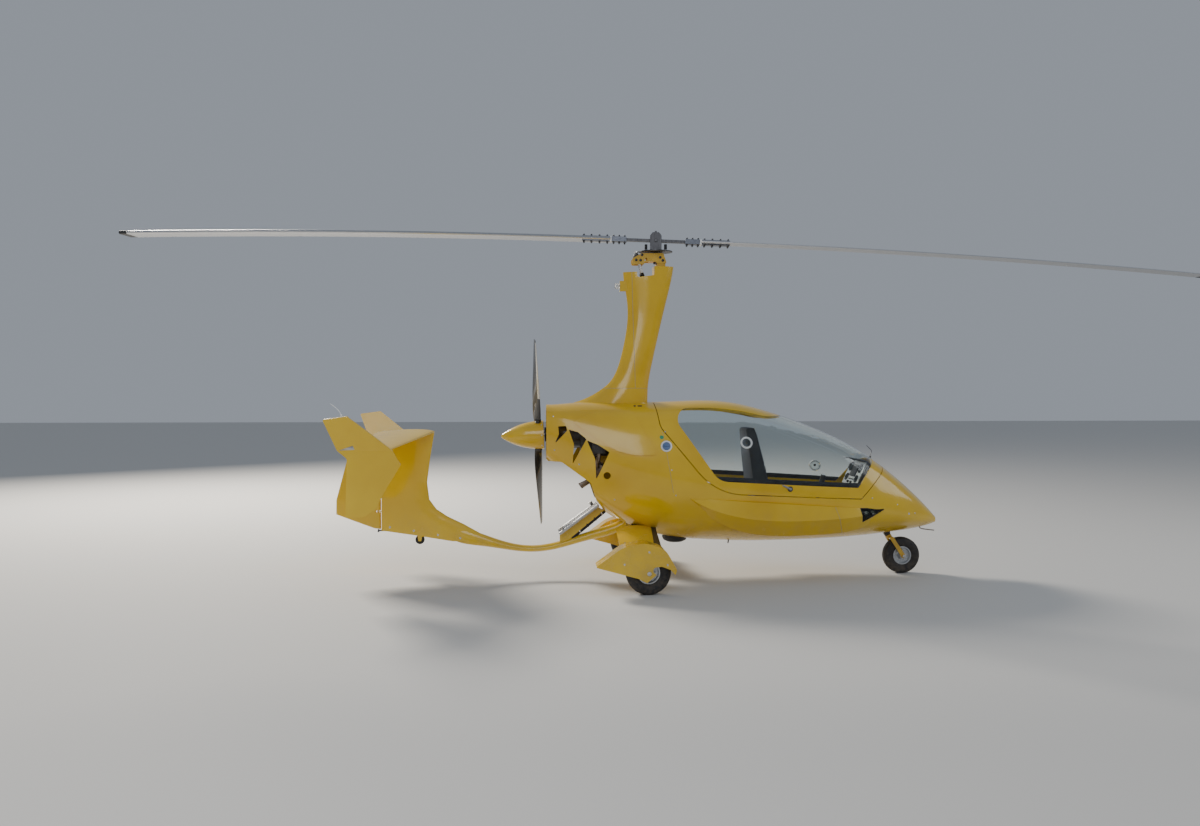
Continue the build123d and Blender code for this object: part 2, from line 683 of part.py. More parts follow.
def rotor_tower():
    """Spindle, ring gear for the spin-up drive, and two cheeks that carry the teeter pin."""
    tower = Pos(0, 0, -80) * Cylinder(52, 14)
    tower += Pos(0, 0, -90) * Cylinder(132, 7)
    tower += Pos(0, 0, -136) * Cylinder(SPINDLE_RADIUS, 108)
    for side in (-1, 1):
        cheek = slab(((-47, -74, 0), (47, -74, 0), (47, 40, 18), (26, 66, 10), (-26, 66, 10), (-47, 40, 18)),
                     CHEEK_THICK, at=side * (CHEEK_HALF + CHEEK_THICK / 2))
        tower += cheek
        tower += box((-9, 9), sorted((side * CHEEK_HALF, side * (CHEEK_HALF + CHEEK_THICK))), (50, 76))
    tower += rod((0, -CHEEK_HALF - 20, 0), (0, CHEEK_HALF + 20, 0), TEETER_PIN_RADIUS)
    for side in (-1, 1):
        tower += box((side * 80 - 10, side * 80 + 10), (-20, 20), (-86, -30))
        tower += box(sorted((side * 40, side * 85)), (-14, 14), (-86, -74))
    return ROTOR * tower


# The rotor head's side plates: an arch below, and a three-cornered cut-out behind the bearing block
HEAD_PLATE = (
    (-196, 2556, 12), (-200, 2600, 14), (-122, 2646, 20), (56, 2648, 10), (80, 2580, 8), (80, 2564, 4),
    (4, 2564, 6), (-6, 2578, 8), (-84, 2578, 14), (-108, 2556, 10),
)
HEAD_CUT = ((-108, 2586, 4), (-72, 2586, 4), (-78, 2614, 6))
HEAD_PLATE_THICK = 9.0
HEAD_WIDTH = 104.0
HEAD_LOW = 2580.0
HEAD_TOP = 2650.0
HEAD_FLANGE = 20.0
HEAD_BEARING = 45.0


def rotor_head():
    """The spindle's bearing block between two side plates, standing on the mast's front half."""
    half = HEAD_WIDTH / 2
    head = box((-62, 62), (-half, half), (HEAD_LOW, HEAD_LOW + HEAD_FLANGE))
    head += Pos(0, 0, (HEAD_LOW + HEAD_TOP) / 2) * Cylinder(HEAD_BEARING, HEAD_TOP - HEAD_LOW)
    head += box((6, 74), (-half, half), (MAST_TOP + SEAT_FIT, HEAD_LOW + HEAD_FLANGE))
    for side in (-1, 1):
        head += slab(HEAD_PLATE, HEAD_PLATE_THICK, at=side * (half + 1))
    head -= slab(HEAD_CUT, 2 * HEAD_WIDTH)
    head += rod((-140, -half, 2588), (-140, half, 2588), 12)
    return head - Pos(0, 0, HEAD_LOW) * Cylinder(SPINDLE_RADIUS + RUN_FIT, 200)


def hub_bar():
    half, width, thick = HUB_BAR
    bar = Box(2 * half, width, thick) + Rot(90, 0, 0) * Cylinder(22, width)
    bar -= rod((0, -80, 0), (0, 80, 0), TEETER_PIN_RADIUS + RUN_FIT)
    return bar


def blade_solid():
    """One blade: a flat-bottomed section carried out along a very shallow arc, tip hanging down."""
    chord, thick = BLADE_CHORD, BLADE_THICK
    nose = 0.3 * chord
    length = ROTOR_RADIUS - BLADE_ROOT
    bend = length**2 / (2 * ROTOR_DROOP)
    plane = Plane(origin=(BLADE_ROOT, 0, 0), x_dir=(0, 1, 0), z_dir=(1, 0, 0))
    low = -thick * 0.42
    high = thick * 0.58
    face = plane * make_face([
        ThreePointArc((nose, -1), (nose - 5, high * 0.55), (nose * 0.45, high * 0.93)),
        ThreePointArc((nose * 0.45, high * 0.93), (-0.25 * chord, high * 0.72), (nose - chord, low + 3)),
        Line((nose - chord, low + 3), (nose - chord, low)),
        Line((nose - chord, low), (nose * 0.6, low)),
        ThreePointArc((nose * 0.6, low), (nose * 0.92, low * 0.62), (nose, -1)),
    ])
    return revolve(face, Axis((BLADE_ROOT, 0, -bend), (0, 1, 0)), math.degrees(length / bend))


# A blade's grip: inner end, outer end, half width and half height
GRIP = (240.0, 604.0, 46.0, 19.0)


def rotor():
    """Hub bar, the two blades, and the grips: plates above and below, open at the gap between bar and blade."""
    bar = hub_bar()
    blade = blade_solid()
    blades = blade + Rot(0, 0, 180) * blade
    half, width, thick = HUB_BAR
    high = thick / 2 + SEAT_FIT
    bar_room = box((0, half), (-width / 2 - SEAT_FIT, width / 2 + SEAT_FIT), (-high, high))
    gap = box((half - 6, BLADE_ROOT + 6), (-GRIP[2] - 1, GRIP[2] + 1), (-high, high))
    grips = None
    for turn in (0, 180):
        grip = box((GRIP[0], GRIP[1]), (-GRIP[2], GRIP[2]), (-GRIP[3], GRIP[3])) - bar_room - gap
        grip = Rot(0, 0, turn) * (grip - blade)
        grips = grip if grips is None else grips + grip
    return ROTOR_TILTED * bar, ROTOR_TILTED * blades, ROTOR_TILTED * grips


# A seat from the front: its back grows narrower towards the headrest
SEAT_WIDTH = ((-200, FLOOR_TOP), (200, FLOOR_TOP), (200, 940), (140, 1240), (-140, 1240), (-200, 940))


def seats():
    base = FLOOR_TOP + SEAT_FIT
    front = slab(((880, base, 20), (1260, base, 30), (1260, 520, 30), (960, 560, 60), (905, 760, 40), (800, 1230, 25),
                  (716, 1224, 25), (770, 770, 0), (842, 470, 20)), 400)
    rear = slab(((100, base, 20), (520, base, 30), (520, 535, 30), (215, 575, 60), (150, 800, 40), (60, 1180, 25),
                 (-30, 1172, 25), (20, 790, 0), (60, 470, 20)), 400)
    inside = pod(WALL + 12, POD[:-1])
    width = Plane.YZ * make_face(Polyline(*SEAT_WIDTH, close=True))
    inside &= extrude(width, amount=NOSE_X, both=True)
    return front & inside, rear & inside


HINGE_STATIONS = (620.0, 1020.0)
HINGE_Y = 425.0
HINGE_SLOPE = -0.0485
HINGE_EYE = 9.0
HINGE_REACH = 36.0
HINGE_PAD = 13.0            # the leaves join the skin this far from the seam


def hinge_point(x):
    return (x, HINGE_Y, 700 + HINGE_SLOPE * (x - 657))


def skin_y(x):
    """The pod's half width at a station."""
    for (start, low, *_), (end, high, *_) in zip(POD, POD[1:]):
        if start <= x <= end:
            return low + (high - low) * (x - start) / (end - start)


def hinge_leaf(x, low, high, way):
    """One ear, its eye on the hinge line and its foot let into the skin above or below the seam."""
    z = hinge_point(x)[2]
    middle = (low + high) / 2
    ear = box((low, high), (HINGE_Y - HINGE_EYE, HINGE_Y + HINGE_EYE), sorted((z, z + way * HINGE_REACH)))
    ear += rod((low, HINGE_Y, z), (high, HINGE_Y, z), HINGE_EYE)
    foot = sorted((z + way * HINGE_PAD, z + way * HINGE_REACH))
    return ear + box((low, high), (skin_y(middle) - 8, HINGE_Y), foot)


def hinges():
    """Canopy hinges on the left sill: ears with pins for the tub, straps with eyes for the canopy."""
    brackets = straps = None
    for x in HINGE_STATIONS:
        ears = hinge_leaf(x, x - 36, x - 20, -1) + hinge_leaf(x, x + 20, x + 36, -1)
        ears += rod(hinge_point(x - 30), hinge_point(x + 30), HINGE_PIN)
        strap = hinge_leaf(x, x - 14, x + 14, 1) - rod(hinge_point(x - 60), hinge_point(x + 60), HINGE_PIN + RUN_FIT)
        brackets = ears if brackets is None else brackets + ears
        straps = strap if straps is None else straps + strap
    return brackets, straps


SCOOP = (
    (-688, 1278, 20), (-579, 1338, 60), (-458, 1362, 60), (-239, 1380, 14), (-216, 1356, 14), (-44, 1052, 14),
    (-44, 1018, 14), (-215, 1019, 60), (-337, 1047, 60), (-507, 1150, 60), (-652, 1248, 20),
)
SCOOP_STANDS = 12.0


def scoops():
    """The raised panel on each flank of the cowl."""
    layer = pod(-SCOOP_STANDS) - pod(-SEAT_FIT)
    return (layer & slab(SCOOP, 1600)) - box((-900, 100), (-150, 150), (900, 1500))


def out_y(inward):
    return MAIN_TRACK / 2 - inward


LEAF_SLOT_TOP = 451.0


def leaf_room():
    """The slot that the gear's leaf spring passes through, with its fit all round."""
    line = ((-out_y(110), 295, 0), (-140, 421, 0), (140, 421, 0), (out_y(110), 295, 0),
            (out_y(110), 325, 0), (140, LEAF_SLOT_TOP, 0), (-140, LEAF_SLOT_TOP, 0), (-out_y(110), 325, 0))
    return slab(line, LEAF_X[1] - LEAF_X[0] + 6, Plane.YZ.offset((LEAF_X[0] + LEAF_X[1]) / 2))


def panel_and_stick():
    """The instrument panel on its pedestal, and the front seat's stick."""
    plane = Plane(origin=(1668, 0, 842), x_dir=(0, 1, 0), z_dir=(-0.906, 0, 0.423))
    outline = ((-240, -120, 30), (240, -120, 30), (200, 118, 40), (-200, 118, 40))
    panel = extrude(rounded_face(outline, plane), amount=-40) & pod(WALL + 16, POD[:-1])
    panel += slab(((1640, FLOOR_TOP + SEAT_FIT, 0), (1760, FLOOR_TOP + SEAT_FIT, 0), (1745, 840, 0), (1660, 780, 0)), 130)
    stick = rod((1287, -60, FLOOR_TOP - 10), (1372, -60, 760), 14) + rod((1368, -60, 744), (1390, -60, 828), 22)
    return panel, stick - box((1200, 1400), (-120, 0), (300, FLOOR_TOP + SEAT_FIT))


BELLY_DOME_X = 160.0


def belly_dome():
    """The dark round cover under the belly: a cone's slice standing on the keel."""
    cap = [(0, 282), (62, 282), (92, 296), (104, 318), (104, 400), (0, 400)]
    outline = Plane.XZ * make_face(Polyline(*cap, close=True))
    return Pos(BELLY_DOME_X, 0, 0) * revolve(outline, Axis.Z) - HULL


def build():
    tub, cowl, frame, pane = skins()
    inside = pod(WALL + SEAT_FIT, POD[:-1])
    leaf_slot = leaf_room()
    sleeve_room = rod(up_axis(SLEEVE[0] - 20), up_axis(SLEEVE[1] + 60), SLEEVE[2] + SEAT_FIT)
    firewall = inside & box((FIREWALL_X - FIREWALL_THICK, FIREWALL_X), (-600, 600), (LEAF_SLOT_TOP, 1700))
    floor = inside & box((FIREWALL_X + SEAT_FIT, BULKHEAD_X - 10), (-600, 600), (FLOOR_TOP - FLOOR_THICK, FLOOR_TOP))
    leaf, fairings, axles, fenders = main_gear()
    fork, sleeve = nose_gear()
    bracket, small_wheel = tail_wheel()
    boom, fin = boom_and_fin()
    stab = stabilizer()
    rudder_body, rudder_plates = rudder()
    boom = max((boom - HULL).solids(), key=lambda s: s.volume)
    strut, radiator, hoses = strut_and_cooling(boom)
    spinner, prop_blades = propeller()
    bar, blades, grips = rotor()
    front_seat, rear_seat = seats()
    ears, straps = hinges()
    panel, stick = panel_and_stick()
    nodes = {
        "cabin_tub": tub + ears - leaf_slot - sleeve_room,
        "engine_cowl": cowl,
        "canopy_frame": frame + straps,
        "canopy_glass": pane,
        "side_pods": blister(1) + blister(-1),
        "air_scoops": scoops(),
        "firewall": firewall,
        "cabin_floor": floor - leaf_slot - sleeve_room,
        "front_seat": front_seat,
        "rear_seat": rear_seat,
        "instrument_panel": panel,
        "control_stick": stick,
        "engine_block": engine(),
        "mast_fairing": mast(),
        "mast_foot": mast_foot(),
        "beacon_lamp": rod((-296.3, 0, BEACON_Z), (-336, 0, BEACON_Z), 23),
        "rotor_head": rotor_head(),
        "rotor_tower": rotor_tower(),
        "rotor_hub_bar": bar,
        "rotor_blades": blades,
        "rotor_blade_grips": grips,
        "propeller_hub": spinner,
        "propeller_blades": prop_blades,
        "tail_boom_and_fin": boom + strut + (fin - stab) + rudder_plates + bracket,
        "rudder": rudder_body,
        "stabilizer": stab,
        "end_plates": end_plates() - stab,
        "radiator": radiator,
        "coolant_hoses": hoses,
        "gear_leaf_spring": leaf,
        "gear_leg_fairings": fairings,
        "main_axles": axles,
        "wheel_fenders": fenders,
        "nose_fork": fork,
        "nose_gear_sleeve": sleeve,
        "tail_wheel": small_wheel,
        "belly_dome": belly_dome(),
    }
    for name, side in (("right", -1), ("left", 1)):
        at = Pos(MAIN_X, side * MAIN_TRACK / 2, MAIN_RADIUS)
        nodes[f"main_tyre_{name}"] = at * tyre(MAIN_RADIUS, MAIN_WIDTH, 86)
        nodes[f"main_rim_{name}"] = at * rim(85.7, 100, AXLE_RADIUS + RUN_FIT, 58)
    at = Pos(NOSE_X, 0, NOSE_RADIUS)
    nodes["nose_tyre"] = at * tyre(NOSE_RADIUS, NOSE_WIDTH, 76)
    nodes["nose_rim"] = at * rim(75.7, 78, AXLE_RADIUS + RUN_FIT, 56)
    return nodes


for node_name, node in build().items():
    save(node_name, node)
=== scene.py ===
# %% [markdown]
# # Dressing a gyrocopter
# The frame is the machine's solid model: every part already stands at its true place, in metres.
# We give each part its finish and add the pieces that a solid model leaves out.
# The first thing we need is the frame itself.

# %% Load the frame
import bmesh
import bpy
import math
from mathutils import Euler, Matrix, Vector


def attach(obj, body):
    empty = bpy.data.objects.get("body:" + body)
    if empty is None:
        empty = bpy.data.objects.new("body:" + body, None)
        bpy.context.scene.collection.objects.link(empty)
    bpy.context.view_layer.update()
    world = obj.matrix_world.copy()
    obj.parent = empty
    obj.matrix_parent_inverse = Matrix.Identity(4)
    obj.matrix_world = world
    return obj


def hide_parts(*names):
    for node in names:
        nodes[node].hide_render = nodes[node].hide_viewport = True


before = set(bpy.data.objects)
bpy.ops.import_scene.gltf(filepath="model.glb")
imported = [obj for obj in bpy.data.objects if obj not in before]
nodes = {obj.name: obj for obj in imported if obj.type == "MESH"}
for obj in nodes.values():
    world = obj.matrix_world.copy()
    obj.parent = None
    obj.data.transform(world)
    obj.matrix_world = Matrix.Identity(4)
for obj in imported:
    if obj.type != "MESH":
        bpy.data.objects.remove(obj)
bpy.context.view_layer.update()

# %% [markdown]
# ## Where we stand
# The camera looks at the right side from about eye height, a metre behind the rotor's mast.
# A lens is easiest to set from its field of view: 31.8 mm on a 36 mm sensor takes in 59 degrees.

# %% Camera
eye = Vector((-0.989, -8.685, 1.547))
look_flat = Vector((0.061, 0.998, 0.0)).normalized()
tilt_down = math.radians(1.35)
look = look_flat * math.cos(tilt_down) - Vector((0, 0, math.sin(tilt_down)))
camera_data = bpy.data.cameras.new("camera")
camera_data.lens = 31.8
camera_data.sensor_width = 36.0
camera_data.clip_end = 200.0
camera = bpy.data.objects.new("camera", camera_data)
camera.location = eye
camera.rotation_euler = look.to_track_quat("-Z", "Y").to_euler()
bpy.context.scene.collection.objects.link(camera)
bpy.context.scene.camera = camera
print("camera", tuple(round(v, 3) for v in camera.location))

# %% [markdown]
# ## Floor and light
# A pale floor shows the shadow under the wheels, and soft light from above and behind gives
# the long highlights along the curved shell that a low sun gives outdoors.

# %% Floor
bpy.ops.object.select_all(action="DESELECT")
bpy.ops.mesh.primitive_plane_add(size=80, location=(0, 0, 0))
floor = bpy.context.object
floor.name = "floor"
floor_finish = bpy.data.materials.new("pale floor")
floor_finish.use_nodes = True
floor_shader = floor_finish.node_tree.nodes["Principled BSDF"]
floor_shader.inputs["Base Color"].default_value = (0.60, 0.595, 0.58, 1)
floor_shader.inputs["Roughness"].default_value = 0.85
floor.data.materials.append(floor_finish)

world = bpy.data.worlds.new("studio air")
bpy.context.scene.world = world
world.use_nodes = True
world.node_tree.nodes["Background"].inputs["Color"].default_value = (0.80, 0.88, 1.0, 1)
world.node_tree.nodes["Background"].inputs["Strength"].default_value = 0.36


# %% Lamps
def soft_lamp(name, place, aim, size, watts, colour):
    """One large area lamp, turned towards a point."""
    data = bpy.data.lights.new(name, "AREA")
    data.shape = "RECTANGLE"
    data.size, data.size_y = size
    data.energy = watts
    data.color = colour
    lamp = bpy.data.objects.new(name, data)
    lamp.location = place
    lamp.rotation_euler = (Vector(aim) - Vector(place)).to_track_quat("-Z", "Y").to_euler()
    bpy.context.scene.collection.objects.link(lamp)
    return lamp


soft_lamp("sun side", (-7.0, 8.0, 7.0), (0, 0, 1.0), (3.0, 2.5), 2200, (1.0, 0.93, 0.82))
soft_lamp("fill", (-3.0, -9.0, 5.0), (0, 0, 1.0), (6, 4), 190, (0.96, 0.97, 1.0))
soft_lamp("front", (9.0, -3.0, 4.5), (1, 0, 0.8), (4, 4), 120, (0.92, 0.96, 1.0))

# %% [markdown]
# ## How a finish is put together
# Real finishes come in layers: a colour that is never quite even, a grain, and dirt on top of both.
# Every layer that several finishes share becomes a node group with named knobs, made once.
# These small helpers keep the wiring readable: they add a node, join sockets, mix colours and
# stretch a range.

# %% Node helpers
def put(tree, kind, **knobs):
    """Add a shader node; each knob is one of its settings or, failing that, one of its sockets."""
    made = tree.nodes.new("ShaderNode" + kind)
    for key, value in knobs.items():
        if hasattr(made, key):
            setattr(made, key, value)
        else:
            made.inputs[key.replace("_", " ")].default_value = value
    return made


def feed(tree, value, socket):
    """Give a socket a plain value, or join it to another node's output."""
    if isinstance(value, bpy.types.NodeSocket):
        tree.links.new(value, socket)
    else:
        socket.default_value = value


def mix(tree, share, first, second, way="MIX"):
    """Mix two colours, each a colour or a socket."""
    mixer = put(tree, "Mix", data_type="RGBA", blend_type=way)
    for number, value in ((0, share), (6, first), (7, second)):
        feed(tree, value, mixer.inputs[number])
    return mixer.outputs[2]


def maths(tree, what, first, second=0.0, third=0.0):
    """One sum on two or three values."""
    step = put(tree, "Math", operation=what)
    for number, value in enumerate((first, second, third)):
        feed(tree, value, step.inputs[number])
    return step.outputs[0]


def stretch(tree, value, low, high, to_low=0.0, to_high=1.0):
    """Map the part of a value between low and high onto another range."""
    ranger = put(tree, "MapRange")
    for name, number in (("From Min", low), ("From Max", high), ("To Min", to_low), ("To Max", to_high)):
        feed(tree, number, ranger.inputs[name])
    tree.links.new(value, ranger.inputs["Value"])
    return ranger.outputs["Result"]


def relief(tree, height, strength, depth):
    """Turn a height into a bumped normal; depth is in metres."""
    bump = put(tree, "Bump", Strength=strength, Distance=depth)
    tree.links.new(height, bump.inputs["Height"])
    return bump.outputs["Normal"]


print("helpers ready")

# %% [markdown]
# ## The shared layers
# A group's knobs are numbers or vectors, and it hands out masks and heights from 0 to 1.
# The pattern always sits on the piece's own coordinates, so it stays put when the piece moves.

# %% Start a group
def open_group(name, knobs, results):
    """A new node group with its knobs and results; hands back the group and its two end nodes."""
    group = bpy.data.node_groups.new(name, "ShaderNodeTree")
    for label, value in knobs:
        kind = "NodeSocketVector" if isinstance(value, tuple) else "NodeSocketFloat"
        group.interface.new_socket(label, in_out="INPUT", socket_type=kind).default_value = value
    for label in results:
        group.interface.new_socket(label, in_out="OUTPUT", socket_type="NodeSocketFloat")
    return group, group.nodes.new("NodeGroupInput"), group.nodes.new("NodeGroupOutput")


def on_piece(tree, scale=None):
    """The piece's own coordinates, times a scale that is a number, a vector or a socket."""
    place = put(tree, "TexCoord").outputs["Object"]
    if scale is None:
        return place
    grow = put(tree, "VectorMath", operation="MULTIPLY")
    tree.links.new(place, grow.inputs[0])
    feed(tree, (scale, scale, scale) if isinstance(scale, float) else scale, grow.inputs[1])
    return grow.outputs[0]


# %% [markdown]
# Colour drift is a slow noise: gelcoat, paint and rubber are all a little lighter here and darker there.

# %% Colour drift
drift, knob, result = open_group("colour drift", [("Scale", 3.0)], ["Mask"])
cloud = put(drift, "TexNoise", Detail=3.0, Roughness=0.55)
drift.links.new(on_piece(drift), cloud.inputs["Vector"])
drift.links.new(knob.outputs["Scale"], cloud.inputs["Scale"])
drift.links.new(stretch(drift, cloud.outputs["Fac"], 0.35, 0.65), result.inputs["Mask"])

# %% [markdown]
# Dust gathers low down, where the wheels throw it, and lies in patches.

# %% Ground dust
dust, knob, result = open_group("ground dust", [("Reach", 0.6), ("Patches", 7.0)], ["Mask"])
height = put(dust, "SeparateXYZ")
dust.links.new(on_piece(dust), height.inputs[0])
low_down = stretch(dust, height.outputs["Z"], 0.0, knob.outputs["Reach"], 1.0, 0.0)
patch = put(dust, "TexNoise", Detail=6.0, Roughness=0.65)
dust.links.new(on_piece(dust), patch.inputs["Vector"])
dust.links.new(knob.outputs["Patches"], patch.inputs["Scale"])
patches = stretch(dust, patch.outputs["Fac"], 0.38, 0.72)
dust.links.new(maths(dust, "MULTIPLY", low_down, patches), result.inputs["Mask"])

# %% [markdown]
# A brushed or rolled metal shows fine lines one way: noise squeezed along two axes and left long on
# the third.

# %% Drawn grain
grain, knob, result = open_group("drawn grain", [("Squeeze", (4.0, 900.0, 900.0))], ["Lines"])
lines = put(grain, "TexNoise", Scale=1.0, Detail=4.0, Roughness=0.6)
grain.links.new(on_piece(grain, knob.outputs["Squeeze"]), lines.inputs["Vector"])
grain.links.new(stretch(grain, lines.outputs["Fac"], 0.3, 0.7), result.inputs["Lines"])

# %% [markdown]
# Scuffs and rubbed spots are the thin ridge of a noise where it crosses its own middle value.

# %% Scuffs
scuffs, knob, result = open_group("scuffs", [("Scale", 30.0), ("Width", 0.02)], ["Mask"])
swirl = put(scuffs, "TexNoise", Detail=5.0, Roughness=0.7, Distortion=1.2)
scuffs.links.new(on_piece(scuffs), swirl.inputs["Vector"])
scuffs.links.new(knob.outputs["Scale"], swirl.inputs["Scale"])
off_middle = maths(scuffs, "ABSOLUTE", maths(scuffs, "SUBTRACT", swirl.outputs["Fac"], 0.5))
scuffs.links.new(stretch(scuffs, off_middle, 0.0, knob.outputs["Width"], 1.0, 0.0), result.inputs["Mask"])

# %% [markdown]
# A weave is two sets of threads: a sine across and a sine along, one up where the other is down.
# The along direction leans between forward and up, so it runs both on a seat's cushion and on its back.

# %% Weave
weave, knob, result = open_group("weave", [("Threads", 3000.0)], ["Height"])
across = put(weave, "SeparateXYZ")
weave.links.new(on_piece(weave), across.inputs[0])
along = maths(weave, "SUBTRACT", across.outputs["Z"], across.outputs["X"])
warp = maths(weave, "SINE", maths(weave, "MULTIPLY", across.outputs["Y"], knob.outputs["Threads"]))
weft = maths(weave, "SINE", maths(weave, "MULTIPLY", along, knob.outputs["Threads"]))
crossing = maths(weave, "MULTIPLY", warp, weft)
weave.links.new(stretch(weave, crossing, -1.0, 1.0), result.inputs["Height"])

# %% [markdown]
# Moulded plastic is cast against a leather-grained tool: small cells with soft edges.

# %% Moulded grain
moulded, knob, result = open_group("moulded grain", [("Scale", 700.0)], ["Height"])
cells = put(moulded, "TexVoronoi", feature="SMOOTH_F1", Smoothness=0.4)
moulded.links.new(on_piece(moulded), cells.inputs["Vector"])
moulded.links.new(knob.outputs["Scale"], cells.inputs["Scale"])
moulded.links.new(cells.outputs["Distance"], result.inputs["Height"])
print("groups", [group.name for group in bpy.data.node_groups])

# %% [markdown]
# ## The finishes
# Each finish is one material with its own shader. Numbers that are the same all over are set on the
# shader's sockets; only what varies over the surface comes from the groups.

# %% Start a finish
def new_finish(name, **sockets):
    """A material, its node tree and its shader with plain values set."""
    material = bpy.data.materials.new(name)
    material.use_nodes = True
    shader = material.node_tree.nodes["Principled BSDF"]
    for key, value in sockets.items():
        shader.inputs[key.replace("_", " ")].default_value = value
    return material, material.node_tree, shader


def layer(tree, group, result, **knobs):
    """Place a shared group in a finish with its own knob values; hands back one of its results."""
    made = tree.nodes.new("ShaderNodeGroup")
    made.node_tree = group
    for key, value in knobs.items():
        made.inputs[key].default_value = value
    return made.outputs[result]


# %% [markdown]
# ### Yellow gelcoat
# The whole shell is glass fibre with a thick coloured resin skin, polished to a deep gloss.
# It looks like paint under lacquer, so a coat layer sits on a slightly rougher colour. What faces up is
# painted paler, partly sun fade and partly a painted highlight of the sky above; the colour drifts
# between egg yolk and mustard, and dust lies low down.

# %% Yellow gelcoat
def gelcoat(name, egg, mustard, fade_and_painted_highlight):
    material, tree, shader = new_finish(name, Coat_Weight=0.55, Coat_Roughness=0.05, IOR=1.5)
    colour = mix(tree, layer(tree, drift, "Mask", Scale=2.2), egg, mustard)
    # Upward faces are mixed towards a paler yellow: partly sun fade, partly a painted highlight of the sky
    # above.
    facing = put(tree, "SeparateXYZ")
    tree.links.new(put(tree, "TexCoord").outputs["Normal"], facing.inputs[0])
    top_fade_and_painted_highlight = maths(tree, "MULTIPLY", stretch(tree, facing.outputs["Z"], 0.1, 1.0), fade_and_painted_highlight)
    colour = mix(tree, top_fade_and_painted_highlight, colour, (0.86, 0.62, 0.16, 1))
    dirty = layer(tree, dust, "Mask", Reach=0.62, Patches=9.0)
    colour = mix(tree, maths(tree, "MULTIPLY", dirty, 0.42), colour, (0.30, 0.24, 0.16, 1))
    tree.links.new(colour, shader.inputs["Base Color"])
    rough = maths(tree, "MULTIPLY_ADD", layer(tree, drift, "Mask", Scale=11.0), 0.07, 0.15)
    tree.links.new(maths(tree, "MULTIPLY_ADD", dirty, 0.35, rough), shader.inputs["Roughness"])
    peel = put(tree, "TexNoise", Scale=240.0, Detail=2.0)
    tree.links.new(on_piece(tree), peel.inputs["Vector"])
    tree.links.new(relief(tree, peel.outputs["Fac"], 0.10, 0.0006), shader.inputs["Normal"])
    return material


# The last number sets how far upward faces turn paler, by sun fade and painted highlight.
yellow_shell = gelcoat("yellow gelcoat", (0.78, 0.50, 0.010, 1), (0.68, 0.41, 0.006, 1), 0.12)
yellow_tail = gelcoat("yellow tail gelcoat", (0.80, 0.53, 0.012, 1), (0.73, 0.46, 0.008, 1), 0.16)
print("gelcoats", yellow_shell.name, yellow_tail.name)

# %% [markdown]
# ### Paint, enamel and powder coat
# Steel that works hard is not gelcoated. The nose leg is powder coated in the shell's colour, with
# the pebbly skin of baked powder, and the leaf spring is dark enamel with chips at its scuffs.

# %% Painted steel
def coated_steel(name, colour, chip, pebble, rough):
    material, tree, shader = new_finish(name, Coat_Weight=0.2, Coat_Roughness=0.2)
    worn = layer(tree, scuffs, "Mask", Scale=26.0, Width=0.012)
    dirty = layer(tree, dust, "Mask", Reach=0.5, Patches=14.0)
    shade = mix(tree, layer(tree, drift, "Mask", Scale=8.0), colour,
                tuple(c * 0.72 for c in colour[:3]) + (1,))
    shade = mix(tree, maths(tree, "MULTIPLY", worn, 0.55), shade, chip)
    shade = mix(tree, maths(tree, "MULTIPLY", dirty, 0.4), shade, (0.28, 0.23, 0.16, 1))
    tree.links.new(shade, shader.inputs["Base Color"])
    tree.links.new(maths(tree, "MULTIPLY_ADD", dirty, 0.3, rough), shader.inputs["Roughness"])
    skin = put(tree, "TexNoise", Scale=pebble, Detail=2.0)
    tree.links.new(on_piece(tree), skin.inputs["Vector"])
    tree.links.new(relief(tree, skin.outputs["Fac"], 0.25, 0.0005), shader.inputs["Normal"])
    return material


powder_yellow = coated_steel("yellow powder coat", (0.76, 0.45, 0.02, 1), (0.30, 0.28, 0.26, 1), 700.0, 0.36)
dark_enamel = coated_steel("dark enamel", (0.018, 0.018, 0.020, 1), (0.16, 0.15, 0.14, 1), 400.0, 0.34)
cast_housing = coated_steel("engine casting", (0.055, 0.056, 0.060, 1), (0.20, 0.20, 0.20, 1), 160.0, 0.55)
print("coated steels", powder_yellow.name, dark_enamel.name, cast_housing.name)

# %% [markdown]
# ### Metals
# A rolled or extruded bar keeps fine lines along its length. The lines move the roughness more than
# the colour, which is what stretches a highlight across them. The rotor's grips and blades run
# nearly fore and aft, so their grain runs that way too.

# %% Drawn metals
def drawn_metal(name, light, dark, squeeze, rough, metallic=1.0, spots=0.15):
    material, tree, shader = new_finish(name, Metallic=metallic)
    lines = layer(tree, grain, "Lines", Squeeze=squeeze)
    worn = layer(tree, scuffs, "Mask", Scale=18.0, Width=0.02)
    shade = mix(tree, lines, light, dark)
    shade = mix(tree, maths(tree, "MULTIPLY", worn, spots), shade,
                tuple(min(1, c * 1.5) for c in light[:3]) + (1,))
    smudge = layer(tree, drift, "Mask", Scale=14.0)
    shade = mix(tree, maths(tree, "MULTIPLY", smudge, 0.25), shade, dark)
    tree.links.new(shade, shader.inputs["Base Color"])
    tree.links.new(maths(tree, "MULTIPLY_ADD", lines, 0.14, rough), shader.inputs["Roughness"])
    tree.links.new(relief(tree, lines, 0.12, 0.0002), shader.inputs["Normal"])
    return material


